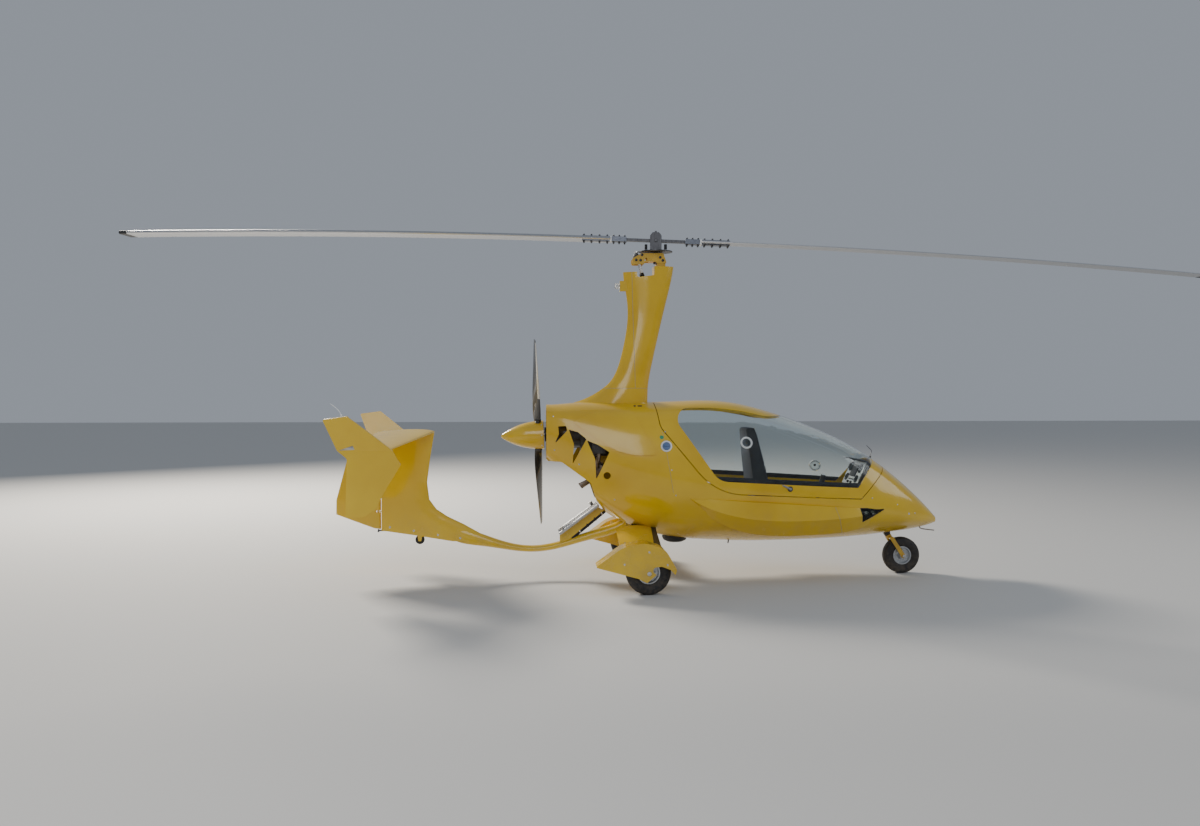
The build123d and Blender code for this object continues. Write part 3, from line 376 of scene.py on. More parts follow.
blade_alloy = drawn_metal("blade alloy", (0.62, 0.63, 0.65, 1), (0.42, 0.43, 0.45, 1), (3.0, 700.0, 500.0),
                          0.30)
grip_alloy = drawn_metal("grip alloy", (0.20, 0.215, 0.25, 1), (0.12, 0.13, 0.155, 1), (5.0, 500.0, 500.0),
                         0.36)
tower_steel = drawn_metal("tower steel", (0.16, 0.16, 0.17, 1), (0.08, 0.08, 0.085, 1), (300.0, 300.0, 8.0),
                          0.40)
wheel_alloy = drawn_metal("wheel alloy", (0.66, 0.67, 0.68, 1), (0.48, 0.49, 0.50, 1), (90.0, 6.0, 90.0),
                          0.33)
bright_steel = drawn_metal("bright steel", (0.72, 0.72, 0.70, 1), (0.50, 0.50, 0.49, 1),
                           (220.0, 220.0, 220.0), 0.20)
sheet_alloy = drawn_metal("sheet alloy", (0.58, 0.58, 0.57, 1), (0.44, 0.44, 0.44, 1), (260.0, 4.0, 260.0),
                          0.38)
heat_steel = drawn_metal("heat stained steel", (0.42, 0.35, 0.28, 1), (0.20, 0.17, 0.17, 1),
                         (40.0, 40.0, 40.0), 0.42)
print("metals", len([m for m in bpy.data.materials if m.name.endswith(("alloy", "steel"))]))

# %% [markdown]
# ### Rubber
# Tyre rubber is nearly black where it is new, greyer on the sidewall and brown with dust where it
# rolls. Hoses, seals and buffers are the same stuff without the dust.

# %% Rubbers
def rubber(name, colour, dusty, grain_size):
    material, tree, shader = new_finish(name, Specular_IOR_Level=0.35)
    shade = mix(tree, layer(tree, drift, "Mask", Scale=10.0), colour,
                tuple(c * 1.7 for c in colour[:3]) + (1,))
    dirt = layer(tree, dust, "Mask", Reach=0.45, Patches=28.0)
    shade = mix(tree, maths(tree, "MULTIPLY", dirt, dusty), shade, (0.17, 0.135, 0.10, 1))
    tree.links.new(shade, shader.inputs["Base Color"])
    tree.links.new(maths(tree, "MULTIPLY_ADD", dirt, 0.25, 0.58), shader.inputs["Roughness"])
    skin = layer(tree, moulded, "Height", Scale=grain_size)
    tree.links.new(relief(tree, skin, 0.3, 0.0004), shader.inputs["Normal"])
    return material


tyre_rubber = rubber("tyre rubber", (0.016, 0.016, 0.017, 1), 0.55, 900.0)
seal_rubber = rubber("seal and hose rubber", (0.013, 0.013, 0.014, 1), 0.15, 1400.0)
print("rubbers", tyre_rubber.name, seal_rubber.name)

# %% [markdown]
# ### Moulded and woven plastics
# Trim mouldings have a leather grain. The propeller blades are carbon fibre: a woven twill shows
# through clear resin, and a fine checker imitates it closely enough at this size.

# %% Trim plastic
def trim(name, colour, grain_size, rough):
    material, tree, shader = new_finish(name, Specular_IOR_Level=0.4)
    shade = mix(tree, layer(tree, drift, "Mask", Scale=6.0), colour,
                tuple(c * 1.35 for c in colour[:3]) + (1,))
    rubbed = layer(tree, scuffs, "Mask", Scale=40.0, Width=0.015)
    shade = mix(tree, maths(tree, "MULTIPLY", rubbed, 0.3), shade,
                tuple(min(1, c * 2.6 + 0.02) for c in colour[:3]) + (1,))
    tree.links.new(shade, shader.inputs["Base Color"])
    tree.links.new(maths(tree, "MULTIPLY_ADD", rubbed, -0.15, rough), shader.inputs["Roughness"])
    tree.links.new(relief(tree, layer(tree, moulded, "Height", Scale=grain_size), 0.35, 0.0004),
                   shader.inputs["Normal"])
    return material


black_trim = trim("black moulded trim", (0.020, 0.020, 0.022, 1), 1100.0, 0.55)
grey_trim = trim("grey moulded trim", (0.22, 0.23, 0.24, 1), 1300.0, 0.48)
pale_trim = trim("pale moulded trim", (0.70, 0.72, 0.72, 1), 1500.0, 0.35)
blue_trim = trim("slate blue moulded trim", (0.10, 0.16, 0.30, 1), 1500.0, 0.35)
green_trim = trim("green marker", (0.03, 0.26, 0.13, 1), 1500.0, 0.4)
carpet_grey = trim("cabin carpet", (0.050, 0.052, 0.058, 1), 380.0, 0.85)
print("trims", [m.name for m in (black_trim, grey_trim, pale_trim)])

# %% Carbon blade
carbon, tree, shader = new_finish("carbon twill", Coat_Weight=0.8, Coat_Roughness=0.06, Roughness=0.38)
fine = on_piece(tree, 760.0)
threads = put(tree, "TexChecker", Scale=0.35)
tree.links.new(fine, threads.inputs["Vector"])
tint = mix(tree, threads.outputs["Fac"], (0.010, 0.010, 0.011, 1), (0.028, 0.028, 0.031, 1))
tree.links.new(mix(tree, layer(tree, drift, "Mask", Scale=5.0), tint, (0.020, 0.020, 0.022, 1)),
               shader.inputs["Base Color"])
tree.links.new(relief(tree, threads.outputs["Fac"], 0.15, 0.0002), shader.inputs["Normal"])
print("carbon", carbon.name)

# %% [markdown]
# ### Cloth
# The seats are covered in a dark blue woven cloth with a slight nap. The belts are the same weave
# with coarser threads, in black.

# %% Seat cloth and webbing
def woven(name, colour, lint, threads):
    material, tree, shader = new_finish(name, Roughness=0.82, Sheen_Weight=0.35, Sheen_Roughness=0.5)
    shader.inputs["Sheen Tint"].default_value = (0.5, 0.55, 0.75, 1)
    height = layer(tree, weave, "Height", Threads=threads)
    shade = mix(tree, height, tuple(c * 0.55 for c in colour[:3]) + (1,), colour)
    shade = mix(tree, maths(tree, "MULTIPLY", layer(tree, drift, "Mask", Scale=9.0), 0.35), shade, lint)
    tree.links.new(shade, shader.inputs["Base Color"])
    tree.links.new(relief(tree, height, 0.5, 0.0006), shader.inputs["Normal"])
    return material


seat_cloth = woven("navy seat cloth", (0.020, 0.032, 0.085, 1), (0.045, 0.060, 0.12, 1), 3600.0)
seat_side = woven("charcoal seat side", (0.030, 0.031, 0.036, 1), (0.055, 0.056, 0.060, 1), 3600.0)
belt_web = woven("belt webbing", (0.024, 0.024, 0.026, 1), (0.045, 0.045, 0.048, 1), 2400.0)
print("cloths", seat_cloth.name, belt_web.name)

# %% [markdown]
# ### Clear plastics
# The canopy is blown acrylic: clear, hardly coloured, with a film of fine polish marks.
# The lamps' covers on the side pods are smoked, and the beacon on the mast is frosted and white.

# %% Clear plastics
def clear(name, colour, rough, wave):
    material, tree, shader = new_finish(name, Transmission_Weight=1.0, IOR=1.34, Metallic=0.0)
    film = layer(tree, scuffs, "Mask", Scale=60.0, Width=0.010)
    tree.links.new(mix(tree, maths(tree, "MULTIPLY", film, 0.10), colour,
                       tuple(c * 0.8 for c in colour[:3]) + (1,)),
                   shader.inputs["Base Color"])
    tree.links.new(maths(tree, "MULTIPLY_ADD", film, 0.06, rough), shader.inputs["Roughness"])
    ripple = put(tree, "TexNoise", Scale=wave, Detail=1.0)
    tree.links.new(on_piece(tree), ripple.inputs["Vector"])
    tree.links.new(relief(tree, ripple.outputs["Fac"], 0.03, 0.001), shader.inputs["Normal"])
    return material


clear_canopy = clear("clear canopy", (0.90, 0.95, 0.945, 1), 0.0, 6.0)
smoked_lens = clear("smoked lens", (0.10, 0.12, 0.09, 1), 0.04, 20.0)
white_lens = clear("white beacon lens", (0.95, 0.95, 0.93, 1), 0.25, 40.0)
print("clear plastics", clear_canopy.name)

# %% [markdown]
# ## Dressing the solid parts
# A short table says which of the solid parts wears what. Most keep their shape; a few, such as the
# engine block, are replaced by fuller pieces further on.

# %% Give the parts their finishes
wears = {
    yellow_shell: ("cabin_tub", "engine_cowl", "side_pods", "air_scoops", "canopy_frame", "mast_fairing",
                   "mast_foot", "gear_leg_fairings", "wheel_fenders", "propeller_hub"),
    yellow_tail: ("tail_boom_and_fin", "stabilizer", "end_plates", "rudder"),
    powder_yellow: ("nose_fork", "rotor_head"),
    dark_enamel: ("gear_leaf_spring", "main_axles", "nose_gear_sleeve", "control_stick"),
    black_trim: ("instrument_panel", "belly_dome"),
    tyre_rubber: ("tail_wheel", "main_tyre_right", "main_tyre_left", "nose_tyre"),
    wheel_alloy: ("main_rim_right", "main_rim_left", "nose_rim"),
    sheet_alloy: ("firewall",),
    tower_steel: ("rotor_tower", "rotor_hub_bar"),
    grip_alloy: ("rotor_blade_grips",),
    blade_alloy: ("rotor_blades",),
    carbon: ("propeller_blades",),
    cast_housing: ("engine_block", "radiator"),
    seal_rubber: ("coolant_hoses",),
    carpet_grey: ("cabin_floor",),
    clear_canopy: ("canopy_glass",),
    white_lens: ("beacon_lamp",),
    seat_side: ("front_seat", "rear_seat"),
}
for finish, names in wears.items():
    for name in names:
        nodes[name].data.materials.clear()
        nodes[name].data.materials.append(finish)
bare = sorted(set(nodes) - {name for names in wears.values() for name in names})
print("parts with no finish yet", bare)

# %% [markdown]
# ## How the small pieces are made
# Everything new starts as one of Blender's primitives and is shaped in edit mode, as by hand.
# An operator works on whatever is selected, so each helper first clears the selection, and faces or
# edges are then picked by where they lie.

# %% Start, pick and bake a piece
def begin(kind, **sizes):
    """Add one primitive with nothing else selected."""
    bpy.ops.object.select_all(action="DESELECT")
    add = {"cube": bpy.ops.mesh.primitive_cube_add, "cylinder": bpy.ops.mesh.primitive_cylinder_add,
           "circle": bpy.ops.mesh.primitive_circle_add, "grid": bpy.ops.mesh.primitive_grid_add,
           "plane": bpy.ops.mesh.primitive_plane_add}[kind]
    add(**sizes)
    return bpy.context.object


def pick(piece, kind, wanted):
    """In edit mode, select the points, edges or faces that are wanted, judged by their middle and normal."""
    bpy.ops.mesh.select_mode(type=kind)
    bpy.ops.mesh.select_all(action="DESELECT")
    mesh = bmesh.from_edit_mesh(piece.data)
    for part in {"VERT": mesh.verts, "EDGE": mesh.edges, "FACE": mesh.faces}[kind]:
        if kind == "VERT":
            middle, normal = part.co, part.normal
        elif kind == "EDGE":
            middle, normal = (part.verts[0].co + part.verts[1].co) / 2, part.verts[0].normal
        else:
            middle, normal = part.calc_center_median(), part.normal
        if wanted(middle, normal):
            part.select_set(True)
    mesh.select_flush_mode()
    bmesh.update_edit_mesh(piece.data)


def edit(piece):
    """Go into edit mode on one piece."""
    bpy.ops.object.select_all(action="DESELECT")
    piece.select_set(True)
    bpy.context.view_layer.objects.active = piece
    bpy.ops.object.mode_set(mode="EDIT")


def leave():
    """Go back to object mode."""
    bpy.ops.object.mode_set(mode="OBJECT")


def shape_with(piece, kind, **settings):
    """Add one modifier and apply it."""
    bpy.ops.object.select_all(action="DESELECT")
    piece.select_set(True)
    bpy.context.view_layer.objects.active = piece
    modifier = piece.modifiers.new(kind.lower(), kind)
    for key, value in settings.items():
        setattr(modifier, key, value)
    bpy.ops.object.modifier_apply(modifier=modifier.name)


def soften(piece, width, segments=2, angle=35):
    """Break the sharp edges with a small round."""
    shape_with(piece, "BEVEL", width=width, segments=segments, limit_method="ANGLE",
               angle_limit=math.radians(angle))


def bake(piece):
    """Write the object's place and turn into its mesh."""
    bpy.ops.object.select_all(action="DESELECT")
    piece.select_set(True)
    bpy.context.view_layer.objects.active = piece
    bpy.ops.object.transform_apply(location=True, rotation=True, scale=True)
    return piece


def one_piece(parts):
    """Join several objects into the first."""
    bpy.ops.object.select_all(action="DESELECT")
    for part in parts:
        part.select_set(True)
    bpy.context.view_layer.objects.active = parts[0]
    if len(parts) > 1:
        bpy.ops.object.join()
    return bpy.context.object


def fit(piece, name, finish, body, smooth=35):
    """Name a finished piece, give it its finish and let it ride on a body."""
    bake(piece)
    edit(piece)
    bpy.ops.mesh.select_all(action="SELECT")
    bpy.ops.mesh.normals_make_consistent(inside=False)
    leave()
    bpy.ops.object.shade_smooth_by_angle(angle=math.radians(smooth))
    piece.name = name
    piece.data.materials.clear()
    piece.data.materials.append(finish)
    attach(piece, body)
    print(f"{name}: {len(piece.data.polygons)} faces on {body}")
    return piece


# %% [markdown]
# Turned pieces such as tyres, cups and rings are drawn as a lathe would: one circle is extruded along
# its axis and resized again and again, following a profile of (along, radius) pairs.

# %% Turned pieces and bars
def turn_to(direction):
    """The turn that points a piece's Z axis along a direction."""
    return Vector(direction).to_track_quat("Z", "Y").to_euler()


def turned(profile, centre=(0, 0, 0), along=(0, 0, 1), sides=32, ring=False):
    """Extrude and resize a circle along a profile; a ring joins its last edge to its first."""
    (start, first), rest = profile[0], profile[1:]
    piece = begin("circle", vertices=sides, radius=first, fill_type="NOTHING")
    edit(piece)
    bpy.ops.mesh.select_mode(type="EDGE")
    bpy.ops.mesh.select_all(action="SELECT")
    bpy.ops.transform.translate(value=(0, 0, start))
    at, radius = start, first
    for reach, size in rest:
        bpy.ops.mesh.extrude_region_move(TRANSFORM_OT_translate={"value": (0, 0, reach - at)})
        bpy.ops.transform.resize(value=(size / radius, size / radius, 1), center_override=(0, 0, reach))
        at, radius = reach, size
    bpy.ops.mesh.select_all(action="DESELECT")
    bpy.ops.mesh.select_non_manifold()
    if ring:
        bpy.ops.mesh.bridge_edge_loops()
    else:
        bpy.ops.mesh.fill_holes(sides=0)
    leave()
    piece.rotation_euler = turn_to(along)
    piece.location = centre
    return bake(piece)


def bar(start, end, radius, sides=16, flare=1.0):
    """A round bar between two points, with an inset ring on each end; flare widens the far end."""
    start, end = Vector(start), Vector(end)
    piece = begin("cylinder", vertices=sides, radius=radius, depth=(end - start).length, end_fill_type="NGON")
    edit(piece)
    pick(piece, "FACE", lambda middle, normal: normal.z > 0.9)
    bpy.ops.transform.resize(value=(flare, flare, 1))
    pick(piece, "FACE", lambda middle, normal: abs(normal.z) > 0.9)
    bpy.ops.mesh.inset(thickness=radius * 0.12)
    leave()
    piece.rotation_euler = turn_to(end - start)
    piece.location = (start + end) / 2
    return bake(piece)


def block(low, high, round_edge=0.002, segments=2):
    """A box between two corners with its edges rounded."""
    low, high = Vector(low), Vector(high)
    piece = begin("cube", size=1, location=(low + high) / 2)
    piece.scale = high - low
    bake(piece)
    soften(piece, round_edge, segments)
    return piece


def pipe(points, radius, sides=10):
    """A bent tube: a smooth curve with a round section, made into a mesh."""
    curve = bpy.data.curves.new("route", "CURVE")
    curve.dimensions = "3D"
    curve.bevel_depth = radius
    curve.bevel_resolution = max(1, sides // 4)
    curve.resolution_u = 6
    curve.use_fill_caps = True
    run = curve.splines.new("NURBS")
    run.points.add(len(points) - 1)
    for spot, place in zip(run.points, points):
        spot.co = (*place, 1)
    run.order_u = 3
    run.use_endpoint_u = True
    route = bpy.data.objects.new("route", curve)
    bpy.context.scene.collection.objects.link(route)
    bpy.ops.object.select_all(action="DESELECT")
    route.select_set(True)
    bpy.context.view_layer.objects.active = route
    bpy.ops.object.convert(target="MESH")
    return bpy.context.object


# %% [markdown]
# A hexagon bolt is a washer, a six-sided head with its corners turned off, and a short end of thread.
# It is modelled once; every other bolt is a copy with its own mesh, turned to where it points.

# %% Bolts
def bolt_master():
    """A bolt of unit head radius on the Z axis, its washer's underside at the origin."""
    washer = turned([(0.0, 1.28), (0.16, 1.34), (0.2, 1.26), (0.2, 0.6)], sides=20)
    head = begin("cylinder", vertices=6, radius=1.0, depth=0.62, location=(0, 0, 0.5))
    edit(head)
    pick(head, "FACE", lambda middle, normal: normal.z > 0.9)
    bpy.ops.mesh.inset(thickness=0.16)
    bpy.ops.transform.translate(value=(0, 0, 0.1))
    leave()
    stem = turned([(0.8, 0.48), (1.06, 0.48), (1.14, 0.40)], sides=12)
    master = one_piece([washer, head, stem])
    master.name = "bolt master"
    return master


master_bolt = bolt_master()


def bolts(spots, radius, length=1.0):
    """Copies of the bolt at (place, direction) pairs, joined into one piece."""
    made = []
    for place, direction in spots:
        copy = master_bolt.copy()
        copy.data = master_bolt.data.copy()
        bpy.context.scene.collection.objects.link(copy)
        copy.scale = (radius, radius, radius * length)
        copy.rotation_euler = turn_to(direction)
        copy.location = place
        made.append(bake(copy))
    return one_piece(made)


print("bolt master", len(master_bolt.data.polygons), "faces")

# %% [markdown]
# Some pieces sit on the curved skin. A ray from far out on one side, aimed at the machine, gives the
# point where it meets a part and which way the skin faces there. Of several parts the outermost counts.

# %% Find the skin
SHELL = ("cabin_tub", "engine_cowl", "canopy_frame", "side_pods", "mast_foot", "tail_boom_and_fin",
         "gear_leg_fairings")


def skin_at(part, x, z, side=-1):
    """Where a level line at (x, z) meets a part or the shell, coming from the right (-1) or the left (1)."""
    names = SHELL if part == "shell" else (part,)
    start = Vector((x, side * 3.0, z))
    hits = [nodes[name].ray_cast(start, Vector((0, -side, 0))) for name in names]
    hits = [(place, normal) for hit, place, normal, _ in hits if hit]
    if not hits:
        raise ValueError(f"no {part} at {x}, {z}")
    place, normal = max(hits, key=lambda spot: spot[0].y * side)
    return place, (normal if normal.y * side > 0 else -normal)


print("skin beside the fuel cap", skin_at("cabin_tub", 0.045, 1.087)[0])

# %% [markdown]
# ## Tyres
# The three tyres are smooth-running road tyres: a rounded carcass with ribs that run round it, parted
# by grooves, and short cuts across the shoulders that let water out. The solid model has only the
# plain shape, so a full tyre is turned here from a profile that follows it. The profile goes from
# the rim over one sidewall, dips into each groove, and comes back down the other side.

# %% Tyre profile
def tyre_profile(radius, width, rim):
    """Half of it is listed from the tread's middle to the rim, then mirrored."""
    rise = radius - rim
    half = width / 2
    side = [(0.10, 1.0), (0.13, 0.955), (0.20, 0.955), (0.23, 0.998), (0.44, 0.988), (0.47, 0.94),
            (0.54, 0.935), (0.57, 0.972), (0.72, 0.925), (0.86, 0.84), (0.95, 0.72), (0.985, 0.58),
            (0.985, 0.50), (1.0, 0.47), (0.985, 0.44), (0.975, 0.30), (0.955, 0.24), (0.935, 0.235),
            (0.90, 0.15), (0.80, 0.06), (0.76, 0.0)]
    near = [(-share * half, rim + rise * height) for share, height in reversed(side)]
    far = [(share * half, rim + rise * height) for share, height in side]
    return near + far


def treaded_tyre(centre, radius, width, rim, cuts):
    """A turned tyre; every second slice of its shoulders is pressed in as a short groove."""
    piece = turned(tyre_profile(radius, width, rim), sides=cuts * 2, ring=True)
    edit(piece)
    low, high = rim + (radius - rim) * 0.86, rim + (radius - rim) * 0.985

    def shoulder(middle, normal):
        slice_number = int((math.atan2(middle.y, middle.x) / math.tau % 1.0) * cuts * 2)
        reach = math.hypot(middle.x, middle.y)
        return slice_number % 2 == 0 and low < reach < high and abs(middle.z) > width * 0.29

    pick(piece, "FACE", shoulder)
    bpy.ops.mesh.inset(thickness=width * 0.008, use_individual=False)
    bpy.ops.mesh.extrude_region_move()
    bpy.ops.transform.shrink_fatten(value=-0.0022)
    leave()
    piece.rotation_euler = turn_to((0, 1, 0))
    piece.location = centre
    return bake(piece)


# %% Three tyres
main_x, main_y, main_r = -0.146, 0.800, 0.170
nose_r = 0.151
nose_centre = Vector((2.066, 0.0, nose_r))
wheels = {"right": Vector((main_x, -main_y, main_r)), "left": Vector((main_x, main_y, main_r))}
for side, centre in wheels.items():
    tyre = treaded_tyre(centre, main_r, 0.128, 0.0852, 40)
    fit(tyre, f"treaded_tyre_{side}", tyre_rubber, f"main_wheel_{side}", smooth=28)
    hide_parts(f"main_tyre_{side}")
tyre = treaded_tyre(nose_centre, nose_r, 0.100, 0.0752, 36)
fit(tyre, "treaded_tyre_nose", tyre_rubber, "nose_wheel", smooth=28)
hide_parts("nose_tyre")

# %% [markdown]
# The rims are two pressed halves bolted together. Six bolts go round each one, and a valve with its
# cap stands at a slant between two of them.

# %% Rim hardware
def rim_hardware(name, centre, bolt_ring, face, body):
    """Bolts on both faces of the rim, and a valve with its cap on the outer one."""
    spots = []
    for k in range(6):
        turn = math.tau * k / 6
        for way in (-1, 1):
            spots.append((centre + Vector((bolt_ring * math.cos(turn), way * face,
                                           bolt_ring * math.sin(turn))), (0, way, 0)))
    fit(bolts(spots, 0.0048), f"{name}_bolts", bright_steel, body)
    foot = centre + Vector((0.0, -face, bolt_ring + 0.008))
    valve = turned([(0.0, 0.0048), (0.004, 0.0044), (0.005, 0.0030), (0.016, 0.0028), (0.0165, 0.0038),
                    (0.024, 0.0038), (0.026, 0.0026)], foot, (0.0, -0.75, -0.3), sides=14)
    fit(valve, f"{name}_valve", seal_rubber, body)


for side, centre in wheels.items():
    rim_hardware(f"rim_{side}", centre, 0.052, 0.0082, f"main_wheel_{side}")
rim_hardware("rim_nose", nose_centre, 0.046, 0.0082, "nose_wheel")

# %% [markdown]
# ## The rotor
# The blades hang from a bar that teeters on one pin. Working in the rotor's own frame is far easier
# than in the machine's: its origin is the pin and its X axis runs along the forward blade. A piece is
# made there and then carried out to its true place by one matrix. A second frame dips with the bar.

# %% The rotor's frame
hub_height, blade_heading, blade_dip = 2.753, math.radians(-5.5), math.radians(2.5)
rotor_frame = Matrix.Translation((0, 0, hub_height)) @ Matrix.Rotation(blade_heading, 4, "Z")
teeter_frame = rotor_frame @ Matrix.Rotation(blade_dip, 4, "Y")


def carry(piece, matrix):
    """Move a piece that was made in a local frame out to its true place."""
    piece.matrix_world = matrix @ piece.matrix_world
    return bake(piece)


# %% [markdown]
# Each blade is sandwiched between two plates by bolts that go right through, three pairs in the hub
# bar's end and four pairs in the blade's root. In the photograph their heads stand out above and
# below like the legs of a caterpillar, so both ends of each bolt are made.

# %% Grip bolts
grip_rows = (0.255, 0.300, 0.346, 0.398, 0.462, 0.528, 0.590)
spots = []
for reach in grip_rows:
    for end in (-1, 1):
        for across in (-0.024, 0.024):
            for way in (-1, 1):
                spots.append((Vector((end * reach, across, way * 0.019)), (0, 0, way)))
grip_bolts = carry(bolts(spots, 0.0082, length=1.8), teeter_frame)
fit(grip_bolts, "rotor_grip_bolts", tower_steel, "rotor")

# %% [markdown]
# The plates have a milled step along each long edge. A thin raised pad under the heads shows it: a
# flat plate with its edges rounded off.

# %% Grip washer plates
pads = []
for end in (-1, 1):
    for low, high in ((0.244, 0.356), (0.380, 0.602)):
        for way in (-1, 1):
            inner, outer = sorted((end * low, end * high))
            bottom, top = sorted((way * 0.0186, way * 0.0206))
            pads.append(block((inner, -0.040, bottom), (outer, 0.040, top), 0.0008, 1))
pads = carry(one_piece(pads), teeter_frame)
fit(pads, "rotor_grip_pads", grip_alloy, "rotor")

# %% [markdown]
# A narrow white band goes round each pair of plates where the bar ends and the blade begins.

# %% White bands
bands = []
for end in (-1, 1):
    inner, outer = sorted((end * 0.3605, end * 0.3755))
    bands.append(block((inner, -0.0468, -0.0200), (outer, 0.0468, 0.0200), 0.0008, 1))
bands = carry(one_piece(bands), teeter_frame)
fit(bands, "rotor_root_bands", pale_trim, "rotor")

# %% [markdown]
# Nuts with a raised collar hold the teeter pin. Below the bar stand two black rubber stops, and the
# big disc under them is the ring gear that the engine spins the rotor up with: its rim is cut into
# small teeth, which start as every second face of a plain ring pulled outwards.

# %% Teeter pin nuts
nuts = []
for way in (-1, 1):
    nut = begin("cylinder", vertices=6, radius=0.017, depth=0.012, location=(0, 0, 0.006))
    edit(nut)
    pick(nut, "FACE", lambda middle, normal: normal.z > 0.9)
    bpy.ops.mesh.inset(thickness=0.0035)
    bpy.ops.mesh.extrude_region_move(TRANSFORM_OT_translate={"value": (0, 0, 0.006)})
    leave()
    soften(nut, 0.0008, 1)
    nut.rotation_euler = turn_to((0, way, 0))
    nut.location = (0, way * 0.0482, 0)
    nuts.append(bake(nut))
nuts = carry(one_piece(nuts), rotor_frame)
fit(nuts, "teeter_pin_nuts", tower_steel, "rotor_mast_head")

# %% Rubber stops
stops = []
for end in (-1, 1):
    inner, outer = sorted((end * 0.0685, end * 0.0915))
    stops.append(block((inner, -0.0215, -0.070), (outer, 0.0215, -0.0290), 0.003, 3))
stops = carry(one_piece(stops), rotor_frame)
fit(stops, "teeter_stops", seal_rubber, "rotor_mast_head")

# %% Ring gear teeth
teeth = turned([(-0.0938, 0.1290), (-0.0938, 0.1328), (-0.0862, 0.1328), (-0.0862, 0.1290)], sides=180)
edit(teeth)


def every_second(middle, normal):
    """True for every second outer face of the ring."""
    slice_number = int((math.atan2(middle.y, middle.x) / math.tau % 1.0) * 180)
    return slice_number % 2 == 0 and math.hypot(middle.x, middle.y) > 0.132 and abs(normal.z) < 0.2


pick(teeth, "FACE", every_second)
bpy.ops.mesh.extrude_region_move()
bpy.ops.transform.resize(value=(1.028, 1.028, 0.9), center_override=(0, 0, -0.09))
leave()
carry(teeth, rotor_frame)
fit(teeth, "ring_gear_teeth", tower_steel, "rotor_mast_head", smooth=20)

# %% [markdown]
# The blades have a dark cap at each tip. It is cut from a copy of the blades themselves, so it follows
# the hanging curve: the copy is cut with planes until only the wanted stretch is left, and then
# lifted off the surface by a hair.

# %% Patches cut from a part's own skin
def cut_copy(name, planes):
    """A merged copy of a part, kept only on the inner side of each (point, outward normal) plane."""
    piece = nodes[name].copy()
    piece.data = nodes[name].data.copy()
    piece.parent = None
    piece.matrix_world = Matrix.Identity(4)
    for key in list(piece.keys()):
        del piece[key]
    bpy.context.scene.collection.objects.link(piece)
    edit(piece)
    bpy.ops.mesh.select_all(action="SELECT")
    bpy.ops.mesh.remove_doubles(threshold=0.00002)
    for point, normal in planes:
        bpy.ops.mesh.select_all(action="SELECT")
        bpy.ops.mesh.bisect(plane_co=point, plane_no=normal, clear_outer=True)
    leave()
    return piece


def only(piece, wanted):
    """Delete every face that isn't wanted."""
    edit(piece)
    pick(piece, "FACE", lambda middle, normal: not wanted(middle, normal))
    bpy.ops.mesh.delete(type="FACE")
    leave()
    return piece


def outward(middle, normal):
    """True for the faces of the outer skin on either side."""
    return normal.y * middle.y > 0


def lifted(piece, by, thick):
    """Lift an open patch off its surface and give it a thickness inwards."""
    edit(piece)
    bpy.ops.mesh.select_all(action="SELECT")
    bpy.ops.transform.shrink_fatten(value=by)
    leave()
    shape_with(piece, "SOLIDIFY", thickness=thick, offset=-1.0, use_even_offset=False)
    return piece


# %% Blade tips
tips = []
for end in (-1, 1):
    point = teeter_frame @ Vector((end * 4.385, 0, 0))
    inward = (teeter_frame.to_3x3() @ Vector((-end, 0, 0))).normalized()
    tips.append(lifted(cut_copy("rotor_blades", [(point, inward)]), 0.0006, 0.0005))
fit(one_piece(tips), "rotor_blade_tips", black_trim, "rotor", smooth=30)

# %% [markdown]
# ## The rotor head on the mast
# Two push rods come up out of the mast's notch and tilt the head. Each ends in an eye held by a bolt,
# and runs into a rubber boot where it enters the fairing. Dark bolts go through the yellow side plates.

# %% Push rods
rods = []
boots = []
for side in (-1, 1):
    top = Vector((-0.140, side * 0.030, 2.588))
    foot = Vector((-0.112, side * 0.030, 2.462))
    rods.append(bar(foot, top, 0.0075))
    rods.append(turned([(-0.008, 0.013), (-0.008, 0.017), (0.008, 0.017), (0.008, 0.013)], top, (0, 1, 0),
                       sides=20, ring=True))
    collar = top.lerp(foot, 0.35)
    rods.append(bar(collar - (top - foot) * 0.06, collar + (top - foot) * 0.06, 0.0105, sides=6))
    boots.append(turned([(0.0, 0.017), (0.006, 0.019), (0.010, 0.015), (0.016, 0.018), (0.020, 0.013),
                         (0.026, 0.016), (0.030, 0.0095)], foot - (top - foot) * 0.02, top - foot, sides=20))
fit(one_piece(rods), "head_push_rods", bright_steel, "airframe")
fit(one_piece(boots), "push_rod_boots", seal_rubber, "airframe")

# %% Head bolts
spots = []
for x, z in ((-0.166, 2.590), (-0.130, 2.588), (0.030, 2.612), (-0.118, 2.632), (0.052, 2.588)):
    for side in (-1, 1):
        spots.append((Vector((x, side * 0.0576, z)), (0, side, 0)))
fit(bolts(spots, 0.0085), "head_plate_bolts", dark_enamel, "airframe")

# %% [markdown]
# The spin-up drive sits behind the head: a small housing with a toothed pinion beside the ring gear.
# It is a turned body with cooling rings.

